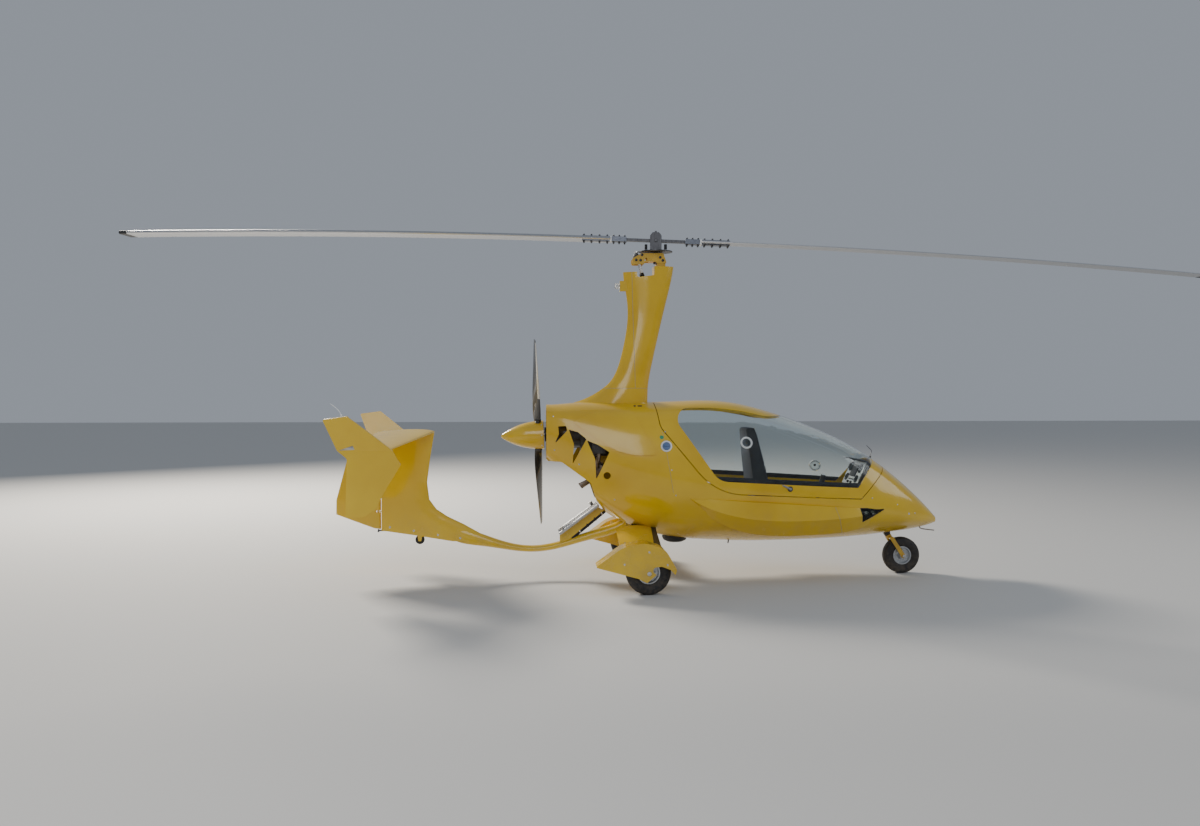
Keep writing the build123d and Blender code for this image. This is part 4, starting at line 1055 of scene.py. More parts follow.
# %% Spin-up drive
drive_axis = Vector((-0.158, 0.0, 2.600))
housing = turned([(-0.020, 0.020), (-0.020, 0.032), (-0.010, 0.034), (-0.006, 0.030), (-0.002, 0.034),
                  (0.002, 0.030), (0.006, 0.034), (0.022, 0.034), (0.026, 0.026), (0.040, 0.024),
                  (0.042, 0.012), (0.052, 0.012)],
                 drive_axis, (0, 0, 1), sides=28)
fit(housing, "spin_up_drive", cast_housing, "airframe")
pinion = turned([(0.0, 0.012), (0.0, 0.0185), (0.012, 0.0185), (0.012, 0.012)], (-0.158, 0.0, 2.6560),
                (0, 0, 1), sides=32, ring=True)
edit(pinion)


def pinion_tooth(middle, normal):
    """True for every second outer face of the pinion, whose axis is 0.158 behind the mast."""
    slice_number = int((math.atan2(middle.y, middle.x + 0.158) / math.tau % 1.0) * 32)
    return slice_number % 2 == 0 and math.hypot(middle.x + 0.158, middle.y) > 0.018 and abs(normal.z) < 0.2


pick(pinion, "FACE", pinion_tooth)
bpy.ops.mesh.extrude_region_move()
bpy.ops.transform.shrink_fatten(value=0.0022)
leave()
fit(pinion, "spin_up_pinion", bright_steel, "airframe", smooth=20)

# %% [markdown]
# ## The canopy's fittings
# Below the pane a black painted band hides the glue joint between acrylic and frame. It is a patch of
# the pane itself, cut off along a line just above the window's lower edge and set against its inside.

# %% Black band inside the window
lower_edge = Vector((1.601 - 0.460, 0, 0.745 - 0.809)).normalized()
above = Vector((-lower_edge.z, 0, lower_edge.x))
band = cut_copy("canopy_glass", [(Vector((0.460, 0, 0.809)) + above * 0.038, above)])
only(band, lambda middle, normal: outward(middle, normal) and abs(normal.y) > 0.5)
lifted(band, -0.0068, 0.003)
fit(band, "window_band", black_trim, "canopy", smooth=60)

# %% [markdown]
# Fresh air comes through two round vents, one in each side of the pane. Each is a pale ring with a
# clear disc that carries a small knob. The ring is turned, and its place and lean come from the
# skin at that spot.

# %% Window vents
def vent(name, x, z, side):
    """One vent in the pane at (x, z) on one side: ring, disc and knob."""
    place, normal = skin_at("canopy_glass", x, z, side)
    ring = turned([(-0.0075, 0.0475), (-0.0015, 0.0490), (0.0040, 0.0485), (0.0062, 0.0455), (0.0062, 0.0400),
                   (0.0040, 0.0370), (0.0040, 0.0350), (-0.0075, 0.0350)], place, normal, sides=48, ring=True)
    fit(ring, f"{name}_ring", pale_trim, "canopy")
    disc = turned([(0.0052, 0.0348), (0.0070, 0.0340), (0.0070, 0.0100), (0.0110, 0.0090), (0.0110, 0.0010)],
                  place, normal, sides=36)
    fit(disc, f"{name}_disc", clear_canopy, "canopy")
    knob_back = turned([(0.0108, 0.0095), (0.0125, 0.0105), (0.0160, 0.0100), (0.0172, 0.0080)], place,
                       normal, sides=20)
    fit(knob_back, f"{name}_knob", black_trim, "canopy")


vent("vent_right", 0.688, 1.112, -1)
vent("vent_left", 1.423, 0.879, 1)

# %% [markdown]
# The outside latch is a small grey lever in a shallow cup under the window. The cup is a flattened
# disc; the lever is a bar that is thick at the pivot and thin at its tip.

# %% Canopy latch
pivot, out = skin_at("canopy_frame", 1.030, 0.745)
cup = turned([(-0.002, 0.021), (0.002, 0.0215), (0.0032, 0.019), (0.0024, 0.014)], pivot, out, sides=28)
fit(cup, "latch_cup", black_trim, "canopy")
tip, _ = skin_at("canopy_frame", 0.965, 0.776)
lever = bar(pivot + out * 0.009, tip + out * 0.012, 0.0085, sides=14, flare=0.62)
hub = turned([(0.000, 0.012), (0.012, 0.012), (0.016, 0.009), (0.017, 0.004)], pivot, out, sides=20)
fit(one_piece([lever, hub]), "latch_lever", grey_trim, "canopy")

# %% [markdown]
# A short whip aerial stands at the canopy's front end, bent back on itself above a small foot.

# %% Front aerial
foot = Vector((1.795, 0.0, 0.962))
whip = pipe([foot, (1.799, 0.0, 0.985), (1.817, 0.0, 1.019), (1.800, 0.0, 1.040), (1.771, 0.0, 1.068)],
            0.0024)
fit(whip, "front_aerial", dark_enamel, "canopy")
socket = turned([(-0.006, 0.012), (0.002, 0.012), (0.008, 0.007), (0.020, 0.005)], foot, (0.5, 0, 0.87),
                sides=18)
fit(socket, "front_aerial_socket", seal_rubber, "canopy")

# %% [markdown]
# The canopy's hinges show the ends of their pins, one bolt head at each.

# %% Hinge bolts
spots = []
for x in (0.620, 1.020):
    z = 0.700 - 0.0485 * (x - 0.657)
    spots += [(Vector((x - 0.0362, 0.425, z)), (-1, 0, 0)), (Vector((x + 0.0362, 0.425, z)), (1, 0, 0))]
fit(bolts(spots, 0.0075), "hinge_pin_bolts", bright_steel, "airframe")

# %% [markdown]
# ## Fittings on the shell
# Screws with cup washers hold the fin's keel and the edges of cowl, tub and gear fairings. Each is
# turned from one outline: a dished washer and a low domed head.

# %% Flush screws
def screws(name, spots, radius, body="airframe"):
    """Flush screws at (place, direction): a dished washer and a domed head."""
    made = []
    for place, direction in spots:
        made.append(turned([(-0.0006, radius), (0.0004, radius), (0.0008, radius * 0.8),
                            (0.0002, radius * 0.62), (0.0012, radius * 0.5), (0.0015, radius * 0.2)], place,
                           direction, sides=16))
    return fit(one_piece(made), name, bright_steel, body)


def on_both(places):
    """Points on the outer shell and their directions for (x, z) places, on both sides."""
    return [skin_at("shell", x, z, side) for x, z in places for side in (-1, 1)]


screws("keel_screws", on_both(((-2.167, 0.418), (-1.974, 0.388), (-1.780, 0.352), (-1.60, 0.325))), 0.0085)
screws("cowl_screws", on_both(((-0.845, 1.32), (-0.835, 1.05), (-0.640, 0.940), (-0.36, 0.66),
                               (-0.30, 1.05))), 0.0065)
screws("tub_screws", on_both(((0.040, 1.20), (0.085, 0.90), (0.118, 0.70), (1.72, 0.66), (1.95, 0.60),
                              (2.12, 0.52))), 0.0055)
screws("fairing_screws", on_both(((-0.300, 0.352),)), 0.009)

# %% [markdown]
# The fuel filler sits behind the canopy on the right: a pale flange, a slate-blue cap and a finger bar
# across it. The small green disc above it marks the fuel grade.

# %% Fuel cap
place, normal = skin_at("shell", 0.045, 1.087)
flange = turned([(-0.010, 0.044), (0.003, 0.0450), (0.0050, 0.0425), (0.0050, 0.0335)], place, normal,
                sides=48)
fit(flange, "fuel_flange", pale_trim, "airframe")
cap = turned([(0.0045, 0.0325), (0.0105, 0.0320), (0.0125, 0.0295), (0.0110, 0.0270), (0.0110, 0.0060)],
             place, normal, sides=48)
fit(cap, "fuel_cap", blue_trim, "airframe")
side_way = normal.cross(Vector((0, 0, 1))).normalized()
finger = bar(place + normal * 0.0135 - side_way * 0.024, place + normal * 0.0135 + side_way * 0.024, 0.0045,
             sides=12)
fit(finger, "fuel_cap_bar", blue_trim, "airframe")
place, normal = skin_at("shell", 0.009, 1.157)
dot = turned([(-0.0004, 0.0155), (0.0006, 0.0155), (0.0010, 0.0140)], place, normal, sides=32)
fit(dot, "fuel_grade_dot", green_trim, "airframe")

# %% [markdown]
# Each side pod ends in two landing lights under a three-cornered smoked cover. The cover and the
# black tray behind it are patches of the pod's own skin, cut along the triangle's three sides.

# %% Landing light covers
def inside(corners, grow=0.0):
    """The cutting planes along a triangle's sides, seen from the side, moved outwards by grow."""
    centre = sum(corners, Vector()) / 3
    planes = []
    for here, after in zip(corners, corners[1:] + corners[:1]):
        run = after - here
        out_of = Vector((run.z, 0, -run.x)).normalized()
        out_of = out_of if out_of.dot(here - centre) > 0 else -out_of
        planes.append((here + out_of * grow, out_of))
    return planes


lamp_corners = [Vector((1.615, 0, 0.580)), Vector((1.842, 0, 0.572)), Vector((1.638, 0, 0.474))]
tray = only(cut_copy("side_pods", inside(lamp_corners, 0.004)), outward)
fit(lifted(tray, 0.0007, 0.0012), "lamp_trays", black_trim, "airframe", smooth=60)
cover = only(cut_copy("side_pods", inside(lamp_corners, -0.001)), outward)
fit(lifted(cover, 0.0032, 0.0022), "lamp_covers", smoked_lens, "airframe", smooth=60)

# %% Lamps under the covers
lamp_parts = []
for side in (-1, 1):
    for x, z in ((1.665, 0.545), (1.715, 0.548)):
        place, normal = skin_at("side_pods", x, z, side)
        lamp_parts.append(turned([(0.0008, 0.016), (0.0016, 0.016), (0.0018, 0.013), (0.0010, 0.006)], place,
                                 normal, sides=24))
fit(one_piece(lamp_parts), "landing_lights", bright_steel, "airframe")

# %% [markdown]
# Fine joint lines run over the shell where its mouldings meet. A joint is filled and rubbed down, so
# it shows as a hair-thin darker bead. A bead is a strip of skin between two cutting planes.

# %% Joint lines
def bead(name, part, point, across, half=0.0011, extra=(), keep=None):
    """A thin strip of a part's skin along a plane, lifted by 0.4 mm."""
    point, across = Vector(point), Vector(across).normalized()
    planes = [(point + across * half, across), (point - across * half, -across)]
    strip = cut_copy(part, planes + [(Vector(p), Vector(n)) for p, n in extra])
    if keep:
        only(strip, keep)
    lifted(strip, 0.0004, 0.0006)
    return fit(strip, name, grey_trim, "airframe", smooth=60)


bead("mast_joint", "mast_fairing", (0, 0, 1.5458), (0, 0, 1), half=0.0008)
bead("mast_back_joint", "mast_fairing", (-0.1865, 0, 2.0), (1, 0, 0.028), half=0.0012, keep=outward)
bead("cowl_joint", "cabin_tub", (0.0595, 0, 0.95), (0.986, 0, 0.165), keep=outward,
     extra=[((0, 0, 1.20), (0, 0, 1)), ((0, 0, 0.72), (0, 0, -1))])
bead("pod_joint_right", "side_pods", (1.411, 0, 0.56), (0.95, 0, 0.31), keep=outward)

# %% [markdown]
# Two small black louvres sit on each side of the mast's foot, and a pitot tube and a drain pipe
# stick out under the nose and belly.

# %% Louvres, pitot tube and drain
louvres = []
for low, high in ((-0.196, -0.178), (-0.164, -0.128)):
    for side in (-1, 1):
        x = (low + high) / 2
        place, normal = skin_at("shell", x, 1.402, side)
        slot_piece = block((low - x, -0.0012, -0.012), (high - x, 0.0012, 0.012), 0.0006, 1)
        slot_piece.rotation_euler = normal.to_track_quat("Y", "Z").to_euler()
        slot_piece.location = place
        louvres.append(bake(slot_piece))
fit(one_piece(louvres), "mast_louvres", black_trim, "airframe")

stem = pipe([(2.200, -0.050, 0.430), (2.205, -0.050, 0.392), (2.215, -0.050, 0.378), (2.240, -0.050, 0.372),
             (2.332, -0.050, 0.361)], 0.0048, sides=12)
fit(stem, "pitot_tube", heat_steel, "airframe")
drain = pipe([(0.592, -0.100, 0.335), (0.592, -0.100, 0.300), (0.586, -0.100, 0.276)], 0.0055, sides=12)
fit(drain, "belly_drain", dark_enamel, "airframe")

# %% [markdown]
# ## Seats
# Each seat is a covered shell with loose cushions on it. The shells are the solid seats pulled in by a
# centimetre, so the upholstery has room to swell without leaving the seat's true size.

# %% Seat shells
def seat_shell(node):
    """The solid seat, shrunk towards its own middle by a centimetre."""
    piece = cut_copy(node, [])
    edit(piece)
    bpy.ops.mesh.select_all(action="SELECT")
    bpy.ops.transform.shrink_fatten(value=-0.010)
    leave()
    soften(piece, 0.004, 2, 40)
    return piece


for row, node in (("front", "front_seat"), ("rear", "rear_seat")):
    fit(seat_shell(node), f"{row}_seat_shell", seat_side, "airframe")

# %% [markdown]
# A cushion is a sewn cover over foam. It starts as a flat-sided block a little smaller than the space
# it fills, gets an even mesh, and is then blown up as cloth: the cover bulges between its seams the
# way foam pushes it. Movement is capped, so no cushion leaves its seat.

# %% Cushion maker
def cushion(name, size, pinch, grow):
    """A blown-up cushion about the origin: size (x, y, z), channel positions along x, and the cap."""
    wide, deep, high = size
    piece = block((-wide / 2, -deep / 2, -high / 2), (wide / 2, deep / 2, high / 2), min(size) * 0.30, 3)
    shape_with(piece, "REMESH", mode="VOXEL", voxel_size=0.0065)
    rest = [v.co.copy() for v in piece.data.vertices]
    seam = piece.vertex_groups.new(name="seam")
    for vertex in piece.data.vertices:
        x, y, z = vertex.co
        on_channel = min((abs(x - spot) for spot in pinch), default=1.0) < 0.0045 and z > high * 0.2
        border = abs(z) < 0.005 and (abs(abs(x) - wide / 2) < 0.008 or abs(abs(y) - deep / 2) < 0.008)
        if on_channel or border:
            seam.add([vertex.index], 1.0, "REPLACE")
    cloth = piece.modifiers.new("cover", "CLOTH")
    cloth.settings.quality = 5
    cloth.settings.mass = 0.3
    cloth.settings.tension_stiffness = 18
    cloth.settings.compression_stiffness = 18
    cloth.settings.bending_stiffness = 3
    cloth.settings.use_pressure = True
    cloth.settings.uniform_pressure_force = 4.0
    cloth.settings.vertex_group_mass = "seam"
    cloth.settings.effector_weights.gravity = 0
    cloth.collision_settings.use_collision = False
    for number in range(1, 19):
        bpy.context.scene.frame_set(number)
    bpy.context.view_layer.objects.active = piece
    piece.select_set(True)
    bpy.ops.object.modifier_apply(modifier="cover")
    bpy.context.scene.frame_set(1)
    for vertex, start in zip(piece.data.vertices, rest):
        move = vertex.co - start
        if move.length > grow:
            vertex.co = start + move.normalized() * grow
    piece.name = name
    return piece


def upholster(name, size, place, tilt, pinch, grow, finish):
    """Make a cushion, lay it on its seat, and give the line of its seam."""
    piece = cushion(name, size, pinch, grow)
    wide, deep, high = size
    frame_here = Matrix.Translation(place) @ Euler((0, math.radians(tilt), 0)).to_matrix().to_4x4()
    carry(piece, frame_here)
    shape_with(piece, "SUBSURF", levels=1, render_levels=1)
    fit(piece, name, finish, "airframe", smooth=60)
    edge = [(-wide / 2, -deep / 2), (wide / 2, -deep / 2), (wide / 2, deep / 2), (-wide / 2, deep / 2),
            (-wide / 2, -deep / 2)]
    rim = []
    for (x0, y0), (x1, y1) in zip(edge, edge[1:]):
        for step in range(6):
            share = step / 6
            x, y = x0 + (x1 - x0) * share, y0 + (y1 - y0) * share
            pull = 1.0 - 0.035 * math.sin(math.pi * share)
            rim.append(frame_here @ Vector((x * pull, y * pull, 0.0)))
    return piece, rim


# %% [markdown]
# The pan cushion and the back cushion have channels across them, and a small headrest sits above.
# Each is laid just under the face of its solid seat, so it swells up to the seat's true size.

# %% Upholster both seats
seats = {
    "front": {"pan": ((1.105, 0, 0.521), 7.6), "back": ((0.8595, 0, 0.871), 77.4),
              "head": ((0.7975, 0, 1.151), 77.4)},
    "rear": {"pan": ((0.372, 0, 0.534), 7.5), "back": ((0.1065, 0, 0.896), 76.7),
             "head": ((0.0535, 0, 1.116), 76.7)},
}
sizes = {"pan": (0.285, 0.370, 0.044), "back": (0.400, 0.320, 0.044), "head": (0.110, 0.210, 0.040)}
channels = {"pan": (-0.07, 0.0, 0.07), "back": (-0.12, -0.04, 0.04, 0.12), "head": ()}
for row, parts in seats.items():
    for part, (place, tilt) in parts.items():
        piece, rim = upholster(f"{row}_{part}_cushion", sizes[part], place, tilt, channels[part], 0.009,
                               seat_cloth)
        fit(pipe(rim + [rim[0]], 0.0034, sides=8), f"{row}_{part}_piping", black_trim, "airframe")
    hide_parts(f"{row}_seat")

# %% [markdown]
# Belts are flat webbing, so they are made directly: one edge is drawn through a row of points and the
# strip gets its thickness. Two straps come down over the shoulders, two across the lap, and they meet
# in a round buckle.

# %% Webbing
def webbing(points, across, width):
    """A flat strap drawn through points, its width along one direction."""
    strip = begin("plane", size=1)
    edit(strip)
    pick(strip, "VERT", lambda middle, normal: middle.x > 0)
    bpy.ops.mesh.delete(type="VERT")
    bpy.ops.mesh.select_all(action="SELECT")
    bpy.ops.transform.resize(value=(0, width, 1), center_override=(0, 0, 0))
    leave()
    strip.rotation_euler = Vector(across).to_track_quat("Y", "Z").to_euler()
    bake(strip)
    edit(strip)
    bpy.ops.mesh.select_mode(type="EDGE")
    bpy.ops.mesh.select_all(action="SELECT")
    bpy.ops.transform.translate(value=Vector(points[0]))
    for here, after in zip(points, points[1:]):
        bpy.ops.mesh.extrude_region_move(TRANSFORM_OT_translate={"value": Vector(after) - Vector(here)})
    leave()
    shape_with(strip, "SUBSURF", levels=2, render_levels=2)
    shape_with(strip, "SOLIDIFY", thickness=0.0022, offset=0)
    return strip


rear_row = (-0.748, 0, 0.014)
for row, shift in (("front", (0, 0, 0)), ("rear", rear_row)):
    shift = Vector(shift)
    straps, metal = [], []
    for way in (-1, 1):
        shoulder = [(0.790, 0.060, 1.215), (0.822, 0.060, 1.190), (0.846, 0.062, 1.080),
                    (0.880, 0.066, 0.960), (0.908, 0.068, 0.840), (0.938, 0.064, 0.720),
                    (0.960, 0.050, 0.640), (0.985, 0.028, 0.588), (1.000, 0.012, 0.574)]
        straps.append(webbing([Vector((x, way * y, z)) + shift for x, y, z in shoulder], (0, 1, 0), 0.044))
        lap = [(0.962, 0.196, 0.500), (0.972, 0.190, 0.556), (0.990, 0.140, 0.572), (1.006, 0.070, 0.574),
               (1.010, 0.020, 0.576)]
        straps.append(webbing([Vector((x, way * y, z)) + shift for x, y, z in lap], (1, 0, 0.1), 0.044))
        slide = block((-0.004, -0.029, -0.022), (0.004, 0.029, 0.022), 0.003, 2)
        slide.rotation_euler = Euler((0, math.radians(-12), 0))
        slide.location = Vector((0.893, way * 0.067, 0.900)) + shift
        metal.append(bake(slide))
    hub = Vector((1.012, 0, 0.578)) + shift
    metal.append(turned([(-0.006, 0.022), (-0.004, 0.026), (0.006, 0.026), (0.010, 0.022), (0.011, 0.006)],
                        hub, (0.1, 0, 1), sides=32))
    metal.append(block(hub + Vector((-0.016, -0.004, 0.010)), hub + Vector((0.016, 0.004, 0.015)), 0.0015, 2))
    fit(one_piece(straps), f"{row}_harness", belt_web, "airframe", smooth=60)
    fit(one_piece(metal), f"{row}_buckle", bright_steel, "airframe")

# %% [markdown]
# ## Instrument panel
# The panel is worked out flat, in its own frame: x to the pilot's right, y up the panel, z towards the
# pilot. A pale face plate carries four round dials, a screen, a row of switches and two knobs. Their
# faces are blank apart from plain marks.

# %% Panel pieces
panel_frame = Matrix(((0, 0.423, -0.906, 1.668), (-1, 0, 0, 0), (0, 0.906, 0.423, 0.842), (0, 0, 0, 1)))
plate = block((-0.198, -0.108, 0.0004), (0.198, 0.104, 0.0034), 0.0012, 2)
edit(plate)
pick(plate, "VERT", lambda middle, normal: middle.y > 0)
bpy.ops.transform.resize(value=(0.94, 1, 1), center_override=(0, 0, 0))
leave()
carry(plate, panel_frame)
fit(plate, "panel_face_plate", pale_trim, "airframe")

bezels, faces, marks = [], [], []
for x, y, radius, reading in ((-0.128, 0.046, 0.041, 40), (-0.128, -0.048, 0.032, -30),
                              (0.128, 0.046, 0.041, 130), (0.128, -0.048, 0.032, -80)):
    bezels.append(turned([(0.003, radius), (0.0100, radius), (0.0118, radius - 0.002),
                          (0.0090, radius - 0.006), (0.0052, radius - 0.006)],
                         (x, y, 0), sides=40, ring=True))
    faces.append(turned([(0.0036, radius - 0.0058), (0.0048, radius - 0.0058), (0.0050, radius - 0.008)],
                        (x, y, 0), sides=40))
    for number in range(10):
        angle = math.radians(36 * number + 18)
        tick = block((-0.0007, -0.0030, -0.0002), (0.0007, 0.0030, 0.0004), 0.0001, 1)
        tick.rotation_euler = Euler((0, 0, angle))
        tick.location = (x - math.sin(angle) * (radius - 0.012), y + math.cos(angle) * (radius - 0.012),
                         0.0053)
        marks.append(bake(tick))
    hand = block((-0.0010, -0.006, -0.0003), (0.0010, radius - 0.014, 0.0005), 0.0002, 1)
    hand.rotation_euler = Euler((0, 0, math.radians(reading)))
    hand.location = (x, y, 0.0062)
    marks.append(bake(hand))
screen = block((-0.072, -0.036, 0.003), (0.072, 0.070, 0.0135), 0.004, 3)
edit(screen)
pick(screen, "FACE", lambda middle, normal: normal.z > 0.9)
bpy.ops.mesh.inset(thickness=0.006, depth=-0.0015)
leave()
bezels.append(screen)
for number in range(6):
    x = -0.060 + number * 0.024
    bezels.append(turned([(0.003, 0.0062), (0.0055, 0.0062), (0.0075, 0.0040)], (x, -0.058, 0), sides=16))
    marks.append(bar((x, -0.058, 0.006), (x, -0.054 + 0.002 * (number % 2), 0.019), 0.0017, sides=10,
                     flare=1.4))
for x in (-0.040, 0.040):
    bezels.append(turned([(0.003, 0.011), (0.016, 0.0095), (0.018, 0.007)], (x, -0.086, 0), sides=20))
for parts, name, finish in ((bezels, "dial_bezels", black_trim), (faces, "dial_faces", smoked_lens),
                            (marks, "dial_marks", white_lens)):
    joined = one_piece(parts)
    carry(joined, panel_frame)
    fit(joined, name, finish, "airframe")

# %% [markdown]
# A hood keeps the sun off the screen. It is a thin sheet, crowned in the middle, with a rolled
# edge towards the pilot.

# %% Hood
hood = begin("grid", x_subdivisions=10, y_subdivisions=16, size=1)
edit(hood)
bpy.ops.mesh.select_all(action="SELECT")
bpy.ops.transform.resize(value=(0.110, 0.300, 1), center_override=(0, 0, 0))
leave()
for vertex in hood.data.vertices:
    x, y, _ = vertex.co
    roll = max(0.0, -0.035 - x)
    vertex.co = Vector((1.672 + x, y, 0.972 - 0.16 * (x + 0.055) - 0.45 * y * y - 14.0 * roll * roll))
shape_with(hood, "SOLIDIFY", thickness=0.006, offset=-1)
soften(hood, 0.0015, 2, 50)
fit(hood, "panel_hood", black_trim, "airframe", smooth=60)

# %% [markdown]
# Below the panel are two rudder pedals with ribbed pads, and the stick has a rubber boot at its foot
# and a plain thumb button at its top. A mat lies on the floor in front of the seat.

# %% Pedals, boot and mat
pedals, pads = [], []
for y in (-0.105, 0.105):
    pedals.append(pipe([(1.700, y, 0.432), (1.700, y, 0.470), (1.716, y, 0.560)], 0.007, sides=14))
    pad = block((1.700, y - 0.040, 0.535), (1.710, y + 0.040, 0.605), 0.003, 2)
    ribs = [block((1.697, y - 0.034, 0.543 + 0.012 * number), (1.701, y + 0.034, 0.548 + 0.012 * number),
                  0.0015, 1) for number in range(5)]
    pads += [pad] + ribs
pedals.append(pipe([(1.700, -0.160, 0.440), (1.700, 0.160, 0.440)], 0.008, sides=14))
fit(one_piece(pedals), "pedal_arms", bright_steel, "airframe")
fit(one_piece(pads), "pedal_pads", seal_rubber, "airframe")
boot = turned([(0.001, 0.062), (0.006, 0.060), (0.016, 0.046), (0.022, 0.050), (0.034, 0.036), (0.040, 0.039),
               (0.052, 0.026), (0.058, 0.028), (0.070, 0.0165)], (1.287, -0.060, 0.430), (0.12, 0, 1),
              sides=32)
fit(boot, "stick_boot", seal_rubber, "airframe", smooth=60)
thumb = turned([(0.000, 0.0080), (0.005, 0.0078), (0.007, 0.005)], (1.3905, -0.060, 0.829), (0.25, 0, 0.97),
               sides=18)
fit(thumb, "stick_button", pale_trim, "airframe")
mat = block((1.340, -0.190, 0.4302), (1.680, 0.190, 0.4380), 0.003, 2)
fit(mat, "floor_mat", carpet_grey, "airframe")

# %% [markdown]
# ## Engine bay
# The engine is seen from behind and below, where the cowl's edge is cut away. A crankcase with pressed
# panels, four flat cylinders, an exhaust and a gearbox take the stand-in's place.

# %% Crankcase
case = block((-0.620, -0.130, 1.000), (-0.120, 0.130, 1.225), 0.018, 2)
edit(case)
pick(case, "FACE", lambda middle, normal: abs(normal.y) > 0.9 or normal.z > 0.9)
bpy.ops.mesh.inset(thickness=0.026, depth=-0.008, use_individual=True)
leave()
airbox = block((-0.540, -0.095, 1.222), (-0.210, 0.095, 1.300), 0.022, 3)
fit(one_piece([case, airbox]), "crankcase", cast_housing, "airframe")

# %% [markdown]
# A finned cylinder is turned from one zigzag outline: each tooth of the outline becomes a cooling fin.

# %% Cylinders with fins
def fin_outline(start, end, core, fin, count):
    """A turned outline with count fins between start and end."""
    step = (end - start) / count
    points = [(start, core)]
    for number in range(count):
        here = start + number * step
        points += [(here + step * 0.35, core), (here + step * 0.40, fin), (here + step * 0.85, fin),
                   (here + step * 0.90, core)]
    return points + [(end, core)]


cylinders = []
for x in (-0.480, -0.300):
    for side in (-1, 1):
        cylinders.append(turned(fin_outline(0.126, 0.212, 0.042, 0.055, 8), (x, 0, 1.075), (0, side, 0),
                                sides=32))
        near, far = sorted((side * 0.208, side * 0.248))
        cylinders.append(block((x - 0.056, near, 1.020), (x + 0.056, far, 1.130), 0.012, 2))
fit(one_piece(cylinders), "cylinders", cast_housing, "airframe")

# %% [markdown]
# The exhaust gathers in a round silencer with domed ends. Its outlet is a tube cut at a slant, so the
# mouth looks up and back; that mouth is the one bright lip seen under the cowl. Heat has browned it.

# %% Exhaust
silencer = turned([(-0.165, 0.020), (-0.162, 0.046), (-0.148, 0.056), (0.148, 0.056), (0.162, 0.046),
                   (0.165, 0.020)],
                  (-0.480, 0.0, 0.885), (0, 1, 0), sides=40)
outlet = turned([(-0.115, 0.0330), (0.085, 0.0350), (0.085, 0.0322), (-0.115, 0.0302)],
                (-0.560, -0.130, 0.808), (-0.84, -0.12, -0.52), sides=36, ring=True)
edit(outlet)
bpy.ops.mesh.select_all(action="SELECT")
bpy.ops.mesh.bisect(plane_co=(-0.600, -0.130, 0.792), plane_no=(-0.42, 0, 0.91), clear_outer=True)
leave()
clamps = [turned([(-0.006, 0.0565), (-0.006, 0.0590), (0.006, 0.0590), (0.006, 0.0565)], (-0.480, y, 0.885),
                 (0, 1, 0), sides=40, ring=True) for y in (-0.115, 0.115)]
headers = []
for x in (-0.480, -0.300):
    for side in (-1, 1):
        headers.append(pipe([(x, side * 0.228, 1.030), (x, side * 0.226, 0.975),
                             (x - 0.020, side * 0.190, 0.925), (-0.470, side * 0.125, 0.895)], 0.0165,
                            sides=14))
fit(one_piece([silencer, outlet] + clamps + headers), "exhaust", heat_steel, "airframe")

# %% [markdown]
# The gearbox carries the propeller shaft. Everything round the shaft is built in the shaft's own
# frame, which leans by two degrees; forward is the frame's +X.

# %% Gearbox
shaft_frame = Matrix.Translation((-0.963, 0, 1.164)) @ Euler((0, math.radians(-2.1), 0)).to_matrix().to_4x4()
gearbox = turned([(0.050, 0.024), (0.050, 0.060), (0.062, 0.062), (0.120, 0.070), (0.160, 0.100),
                  (0.210, 0.112), (0.300, 0.118), (0.345, 0.118), (0.350, 0.100)], sides=48)
shaft = turned([(-0.060, 0.010), (-0.060, 0.0232), (0.056, 0.0236), (0.058, 0.014)], sides=32)
for piece in (gearbox, shaft):
    piece.rotation_euler = turn_to((1, 0, 0))
    bake(piece)
    carry(piece, shaft_frame)
fit(gearbox, "gearbox", dark_enamel, "airframe")
fit(shaft, "propeller_shaft", bright_steel, "airframe")
studs = []
for number in range(8):
    angle = math.tau * (number + 0.5) / 8
    spot = Vector((0.1995, 0.095 * math.cos(angle), 0.095 * math.sin(angle)))
    studs.append((shaft_frame @ spot, shaft_frame.to_3x3() @ Vector((-1, 0, 0))))
fit(bolts(studs, 0.0060, 1.6), "gearbox_studs", bright_steel, "airframe")

# %% [markdown]
# Two hoses run from the case down to the radiator, an oil line leaves the case's side, and the oil
# tank stands beside them.

# %% Lines and tank
lines = []
for side in (-1, 1):
    lines.append(pipe([(-0.260, side * 0.100, 1.010), (-0.280, side * 0.110, 0.930),
                       (-0.330, side * 0.080, 0.820), (-0.385, side * 0.035, 0.680),
                       (-0.400, side * 0.020, 0.610)], 0.0140, sides=14))
lines.append(pipe([(-0.200, -0.130, 1.010), (-0.210, -0.165, 0.940), (-0.245, -0.150, 0.870),
                   (-0.230, -0.110, 0.800)], 0.0070, sides=10))
fit(one_piece(lines), "engine_lines", seal_rubber, "airframe")
tank = turned([(-0.095, 0.020), (-0.092, 0.048), (-0.080, 0.054), (0.080, 0.054), (0.094, 0.044),
               (0.100, 0.022), (0.118, 0.020), (0.120, 0.008)], (-0.190, 0.060, 0.860), (0, 0, 1), sides=32)
fit(tank, "oil_tank", dark_enamel, "airframe")
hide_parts("engine_block")

# %% [markdown]
# ## Propeller
# A stainless strip guards each blade's leading edge against stones. It is the front of the blade
# itself, cut off by a plane and thickened a little outwards. Screws hold the spinner to its plate.

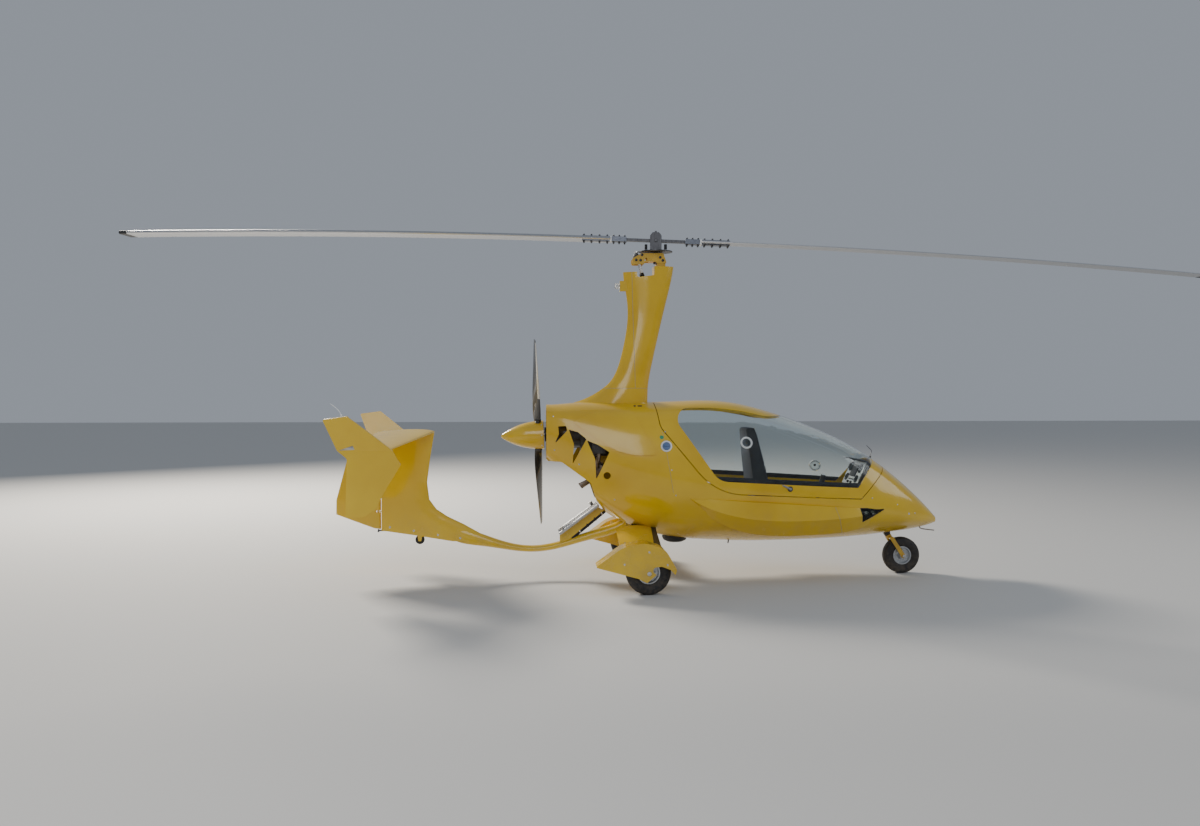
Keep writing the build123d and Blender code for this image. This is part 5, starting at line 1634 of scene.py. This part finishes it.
# %% Blade edge strips
propeller_frame = shaft_frame @ Matrix.Rotation(math.radians(22), 4, "X")
strips = []
for half_turn in (0, math.pi):
    blade_frame = propeller_frame @ Matrix.Rotation(half_turn, 4, "X")
    turn_only = blade_frame.to_3x3()
    planes = [(blade_frame @ Vector((0.0098, -0.0150, 0.450)), turn_only @ Vector((-0.39, 0.92, -0.020))),
              (blade_frame @ Vector((0, 0, 0.330)), turn_only @ Vector((0, 0, -1))),
              (blade_frame @ Vector((0, 0, 0.806)), turn_only @ Vector((0, 0, 1)))]
    strips.append(lifted(cut_copy("propeller_blades", planes), 0.0006, 0.0009))
fit(one_piece(strips), "blade_edge_strips", bright_steel, "propeller", smooth=50)

plate = turned([(0.0420, 0.030), (0.0420, 0.1155), (0.0445, 0.1155), (0.0445, 0.030)], sides=64, ring=True)
plate.rotation_euler = turn_to((1, 0, 0))
bake(plate)
carry(plate, propeller_frame)
fit(plate, "spinner_plate", dark_enamel, "propeller")
spots = []
for number in range(8):
    angle = math.tau * (number + 0.5) / 8
    ray = Vector((0, math.cos(angle), math.sin(angle)))
    spots.append((propeller_frame @ (Vector((0.026, 0, 0)) + ray * 0.1172), propeller_frame.to_3x3() @ ray))
screws("spinner_screws", spots, 0.0058, body="propeller")

# %% [markdown]
# ## Radiator
# The radiator is flat tubes with thin fins between two end tanks. One fin and one tube are made and an
# Array modifier repeats them; the whole is built flat and then laid on the strut's slope.

# %% Radiator core
foot, head = Vector((-0.790, 0, 0.351)), Vector((-0.455, 0, 0.595))
slope = (head - foot).normalized()
length = (head - foot).length - 0.020
pitch = -math.atan2(slope.z, slope.x)
lay = Matrix.Translation(foot + slope * 0.003) @ Euler((0, pitch, 0)).to_matrix().to_4x4()
fin = block((0.004, -0.100, 0.003), (0.0048, 0.100, 0.0225), 0.0001, 1)
shape_with(fin, "ARRAY", count=int((length - 0.012) / 0.0042), use_relative_offset=False,
           use_constant_offset=True, constant_offset_displace=(0.0042, 0, 0))
tube = block((0.002, -0.0980, 0.0045), (length - 0.002, -0.0950, 0.0210), 0.0012, 1)
shape_with(tube, "ARRAY", count=17, use_relative_offset=False, use_constant_offset=True,
           constant_offset_displace=(0, 0.01205, 0))
core = one_piece([fin, tube])
carry(core, lay)
fit(core, "radiator_core", sheet_alloy, "airframe", smooth=20)

tanks = [block((0.0, -0.119, 0.0008), (length, -0.097, 0.0246), 0.006, 3),
         block((0.0, 0.097, 0.0008), (length, 0.119, 0.0246), 0.006, 3)]
for x, y in ((0.045, -0.108), (length - 0.045, 0.108)):
    tanks.append(turned([(0.018, 0.010), (0.018, 0.0135), (0.046, 0.0135), (0.048, 0.0148), (0.052, 0.0148),
                         (0.053, 0.0125), (0.053, 0.010)],
                        (x, y, 0), (0, 0, 1), sides=24, ring=True))
for x in (0.0, length - 0.004):
    tanks.append(block((x, -0.100, 0.0008), (x + 0.004, 0.100, 0.0250), 0.001, 1))
tanks = one_piece(tanks)
carry(tanks, lay)
fit(tanks, "radiator_tanks", sheet_alloy, "airframe")
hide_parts("radiator")

# %% [markdown]
# The hoses below the strut are held by worm-drive clamps at their ends and by two rubber straps.

# %% Hose clamps
clamps = []
hose_way = Vector((-0.690 + 0.398, 0, 0.316 - 0.555)).normalized()
for y in (-0.017, 0.017):
    start = Vector((-0.398, y, 0.555))
    for along in (0.060, 0.290):
        centre = start + hose_way * along
        clamps.append(turned([(-0.005, 0.0140), (-0.005, 0.0150), (0.005, 0.0150), (0.005, 0.0140)], centre,
                             hose_way, sides=28, ring=True))
        worm = turned([(-0.006, 0.002), (-0.006, 0.0036), (0.006, 0.0036), (0.006, 0.002)],
                      centre + Vector((0, math.copysign(0.0165, y), 0)), (hose_way.z, 0, -hose_way.x),
                      sides=12)
        clamps.append(worm)
fit(one_piece(clamps), "hose_clamps", bright_steel, "airframe")
straps = []
for along in (0.130, 0.210):
    centre = Vector((-0.398, 0, 0.555)) + hose_way * along
    strap = block((-0.006, -0.033, -0.0155), (0.006, 0.033, 0.0155), 0.004, 2)
    strap.rotation_euler = Euler((0, -math.atan2(hose_way.z, hose_way.x), 0))
    strap.location = centre
    straps.append(bake(strap))
fit(one_piece(straps), "hose_straps", seal_rubber, "airframe")

# %% [markdown]
# ## Gear and tail fittings
# A brake disc sits inside each main wheel, with a two-part caliper reaching round its edge.
# The disc turns with the wheel; the caliper is bolted to the axle's flange and stays.

# %% Brakes
for side, centre in wheels.items():
    way = -1 if side == "right" else 1

    def across(y):
        """A place on the axle's line, y metres from the middle of the machine."""
        return Vector((centre.x, way * y, centre.z))

    disc = turned([(-0.002, 0.0430), (-0.002, 0.0770), (0.002, 0.0770), (0.002, 0.0430)], across(0.724),
                  (0, 1, 0), sides=60, ring=True)
    hat = turned([(0.000, 0.0330), (0.000, 0.0460), (0.003, 0.0460), (0.004, 0.0400), (0.019, 0.0380),
                  (0.019, 0.0330)],
                 across(0.722), (0, way, 0), sides=48, ring=True)
    spots = []
    for number in range(6):
        angle = math.tau * number / 6
        spots.append((across(0.7218) + Vector((0.043 * math.cos(angle), 0, 0.043 * math.sin(angle))),
                      (0, -way, 0)))
    fit(one_piece([disc, hat, bolts(spots, 0.0035)]), f"brake_disc_{side}", bright_steel,
        f"main_wheel_{side}")
    halves = []
    for near, far in ((0.709, 0.7205), (0.7275, 0.7345)):
        low_y, high_y = sorted((way * near, way * far))
        halves.append(block((centre.x - 0.098, low_y, 0.152), (centre.x - 0.050, high_y, 0.208), 0.0045, 2))
    low_y, high_y = sorted((way * 0.712, way * 0.7335))
    halves.append(block((centre.x - 0.100, low_y, 0.158), (centre.x - 0.080, high_y, 0.202), 0.0045, 2))
    low_y, high_y = sorted((way * 0.7035, way * 0.7105))
    halves.append(block((centre.x - 0.074, low_y, 0.156), (centre.x - 0.020, high_y, 0.196), 0.0025, 2))
    halves.append(bolts([(Vector((centre.x - 0.066, way * 0.709, z)), (0, -way, 0)) for z in (0.164, 0.196)],
                        0.0042))
    fit(one_piece(halves), f"brake_caliper_{side}", cast_housing, "airframe")
    line = pipe([(centre.x - 0.080, way * 0.712, 0.207), (centre.x - 0.078, way * 0.706, 0.250),
                 (centre.x - 0.050, way * 0.690, 0.300), (centre.x - 0.030, way * 0.670, 0.335)], 0.0030,
                sides=10)
    fit(line, f"brake_line_{side}", seal_rubber, "airframe")

# %% [markdown]
# Nuts and bolts close the axles, the fork and the tail wheel. Where the skin is curved or slanted, a
# ray on the part gives the place, so the head sits on the metal.

# %% Axle nuts
axle_ends = [(Vector((-0.146, way * 0.9035, 0.170)), (0, way, 0)) for way in (-1, 1)]
fit(bolts(axle_ends, 0.0120, 0.4), "axle_nuts", bright_steel, "airframe")
spots = [skin_at("nose_fork", 2.066, 0.151, side) for side in (-1, 1)]
fit(bolts(spots, 0.0095), "nose_axle_nuts", bright_steel, "nose_steering")
spots = [(Vector((-1.927, side * 0.0112, 0.313)), (0, side, 0)) for side in (-1, 1)]
fit(bolts(spots, 0.0070), "tail_wheel_nuts", bright_steel, "small_tail_wheel")
fender_places = [skin_at("wheel_fenders", x, z, side)
                 for x, z in ((-0.330, 0.240), (-0.010, 0.235), (-0.146, 0.330)) for side in (-1, 1)]
screws("fender_screws", fender_places, 0.0075)
leaf_spots = []
for x in (-0.190, -0.050):
    for y in (-0.070, 0.070):
        hit, place, normal, _ = nodes["gear_leaf_spring"].ray_cast(Vector((x, y, 0.0)), Vector((0, 0, 1)))
        if hit:
            leaf_spots.append((place, normal if normal.z < 0 else -normal))
fit(bolts(leaf_spots, 0.0090), "leaf_spring_bolts", bright_steel, "airframe")

# %% [markdown]
# The tail carries a pale whip aerial on the right end plate, an alloy wedge where each stabilizer
# tip meets its plate, and the rudder's lower pin under the fin.

# %% Tail fittings
whip = pipe([(-2.402, -0.842, 1.326), (-2.405, -0.845, 1.363), (-2.439, -0.850, 1.405),
             (-2.482, -0.853, 1.434)], 0.0026, sides=10)
socket = turned([(-0.004, 0.009), (0.004, 0.009), (0.012, 0.006), (0.022, 0.0045)], (-2.402, -0.842, 1.334),
                (0, 0, 1), sides=16)
fit(one_piece([whip, socket]), "tail_aerial", pale_trim, "airframe")

wedge_corners = [Vector((-2.436, 0, 1.086)), Vector((-2.330, 0, 1.122)), Vector((-2.318, 0, 1.092))]
wedge = only(cut_copy("end_plates", inside(wedge_corners)), outward)
fit(lifted(wedge, 0.0010, 0.0016), "tip_wedges", sheet_alloy, "airframe")

pin = turned([(-0.026, 0.005), (-0.024, 0.0085), (-0.016, 0.0085), (-0.015, 0.0060), (-0.003, 0.0060),
              (-0.002, 0.005)],
             (-2.262, 0, 0.402), (0, 0, 1), sides=20)
arm = block((-2.266, -0.006, 0.384), (-2.205, 0.006, 0.396), 0.002, 2)
fit(one_piece([pin, arm]), "rudder_pin", tower_steel, "airframe")

# %% [markdown]
# The beacon's lens has moulded ribs: five thin rings round it.

# %% Beacon ribs
ribs = [turned([(-0.0012, 0.0185), (-0.0006, 0.0236), (0.0006, 0.0236), (0.0012, 0.0185)], (-0.316, 0, z),
               (0, 0, 1), sides=32, ring=True)
        for z in (2.3690, 2.3745, 2.3800, 2.3855, 2.3910)]
fit(one_piece(ribs), "beacon_ribs", white_lens, "airframe")

# %% [markdown]
# Static ports are small polished discs with a pinhole, one on each side of the nose.

# %% Static ports
ports = []
for side in (-1, 1):
    place, normal = skin_at("shell", 2.060, 0.520, side)
    ports.append(turned([(-0.001, 0.0090), (0.0008, 0.0088), (0.0010, 0.0060), (0.0009, 0.0014),
                         (-0.0004, 0.0010)], place, normal, sides=24))
fit(one_piece(ports), "static_ports", bright_steel, "airframe")

# %% [markdown]
# ## Finish
# The bolt that the others were copied from has done its work. What we added has to stay within
# the size of the solid model.

# %% Finish
bpy.data.objects.remove(master_bolt)
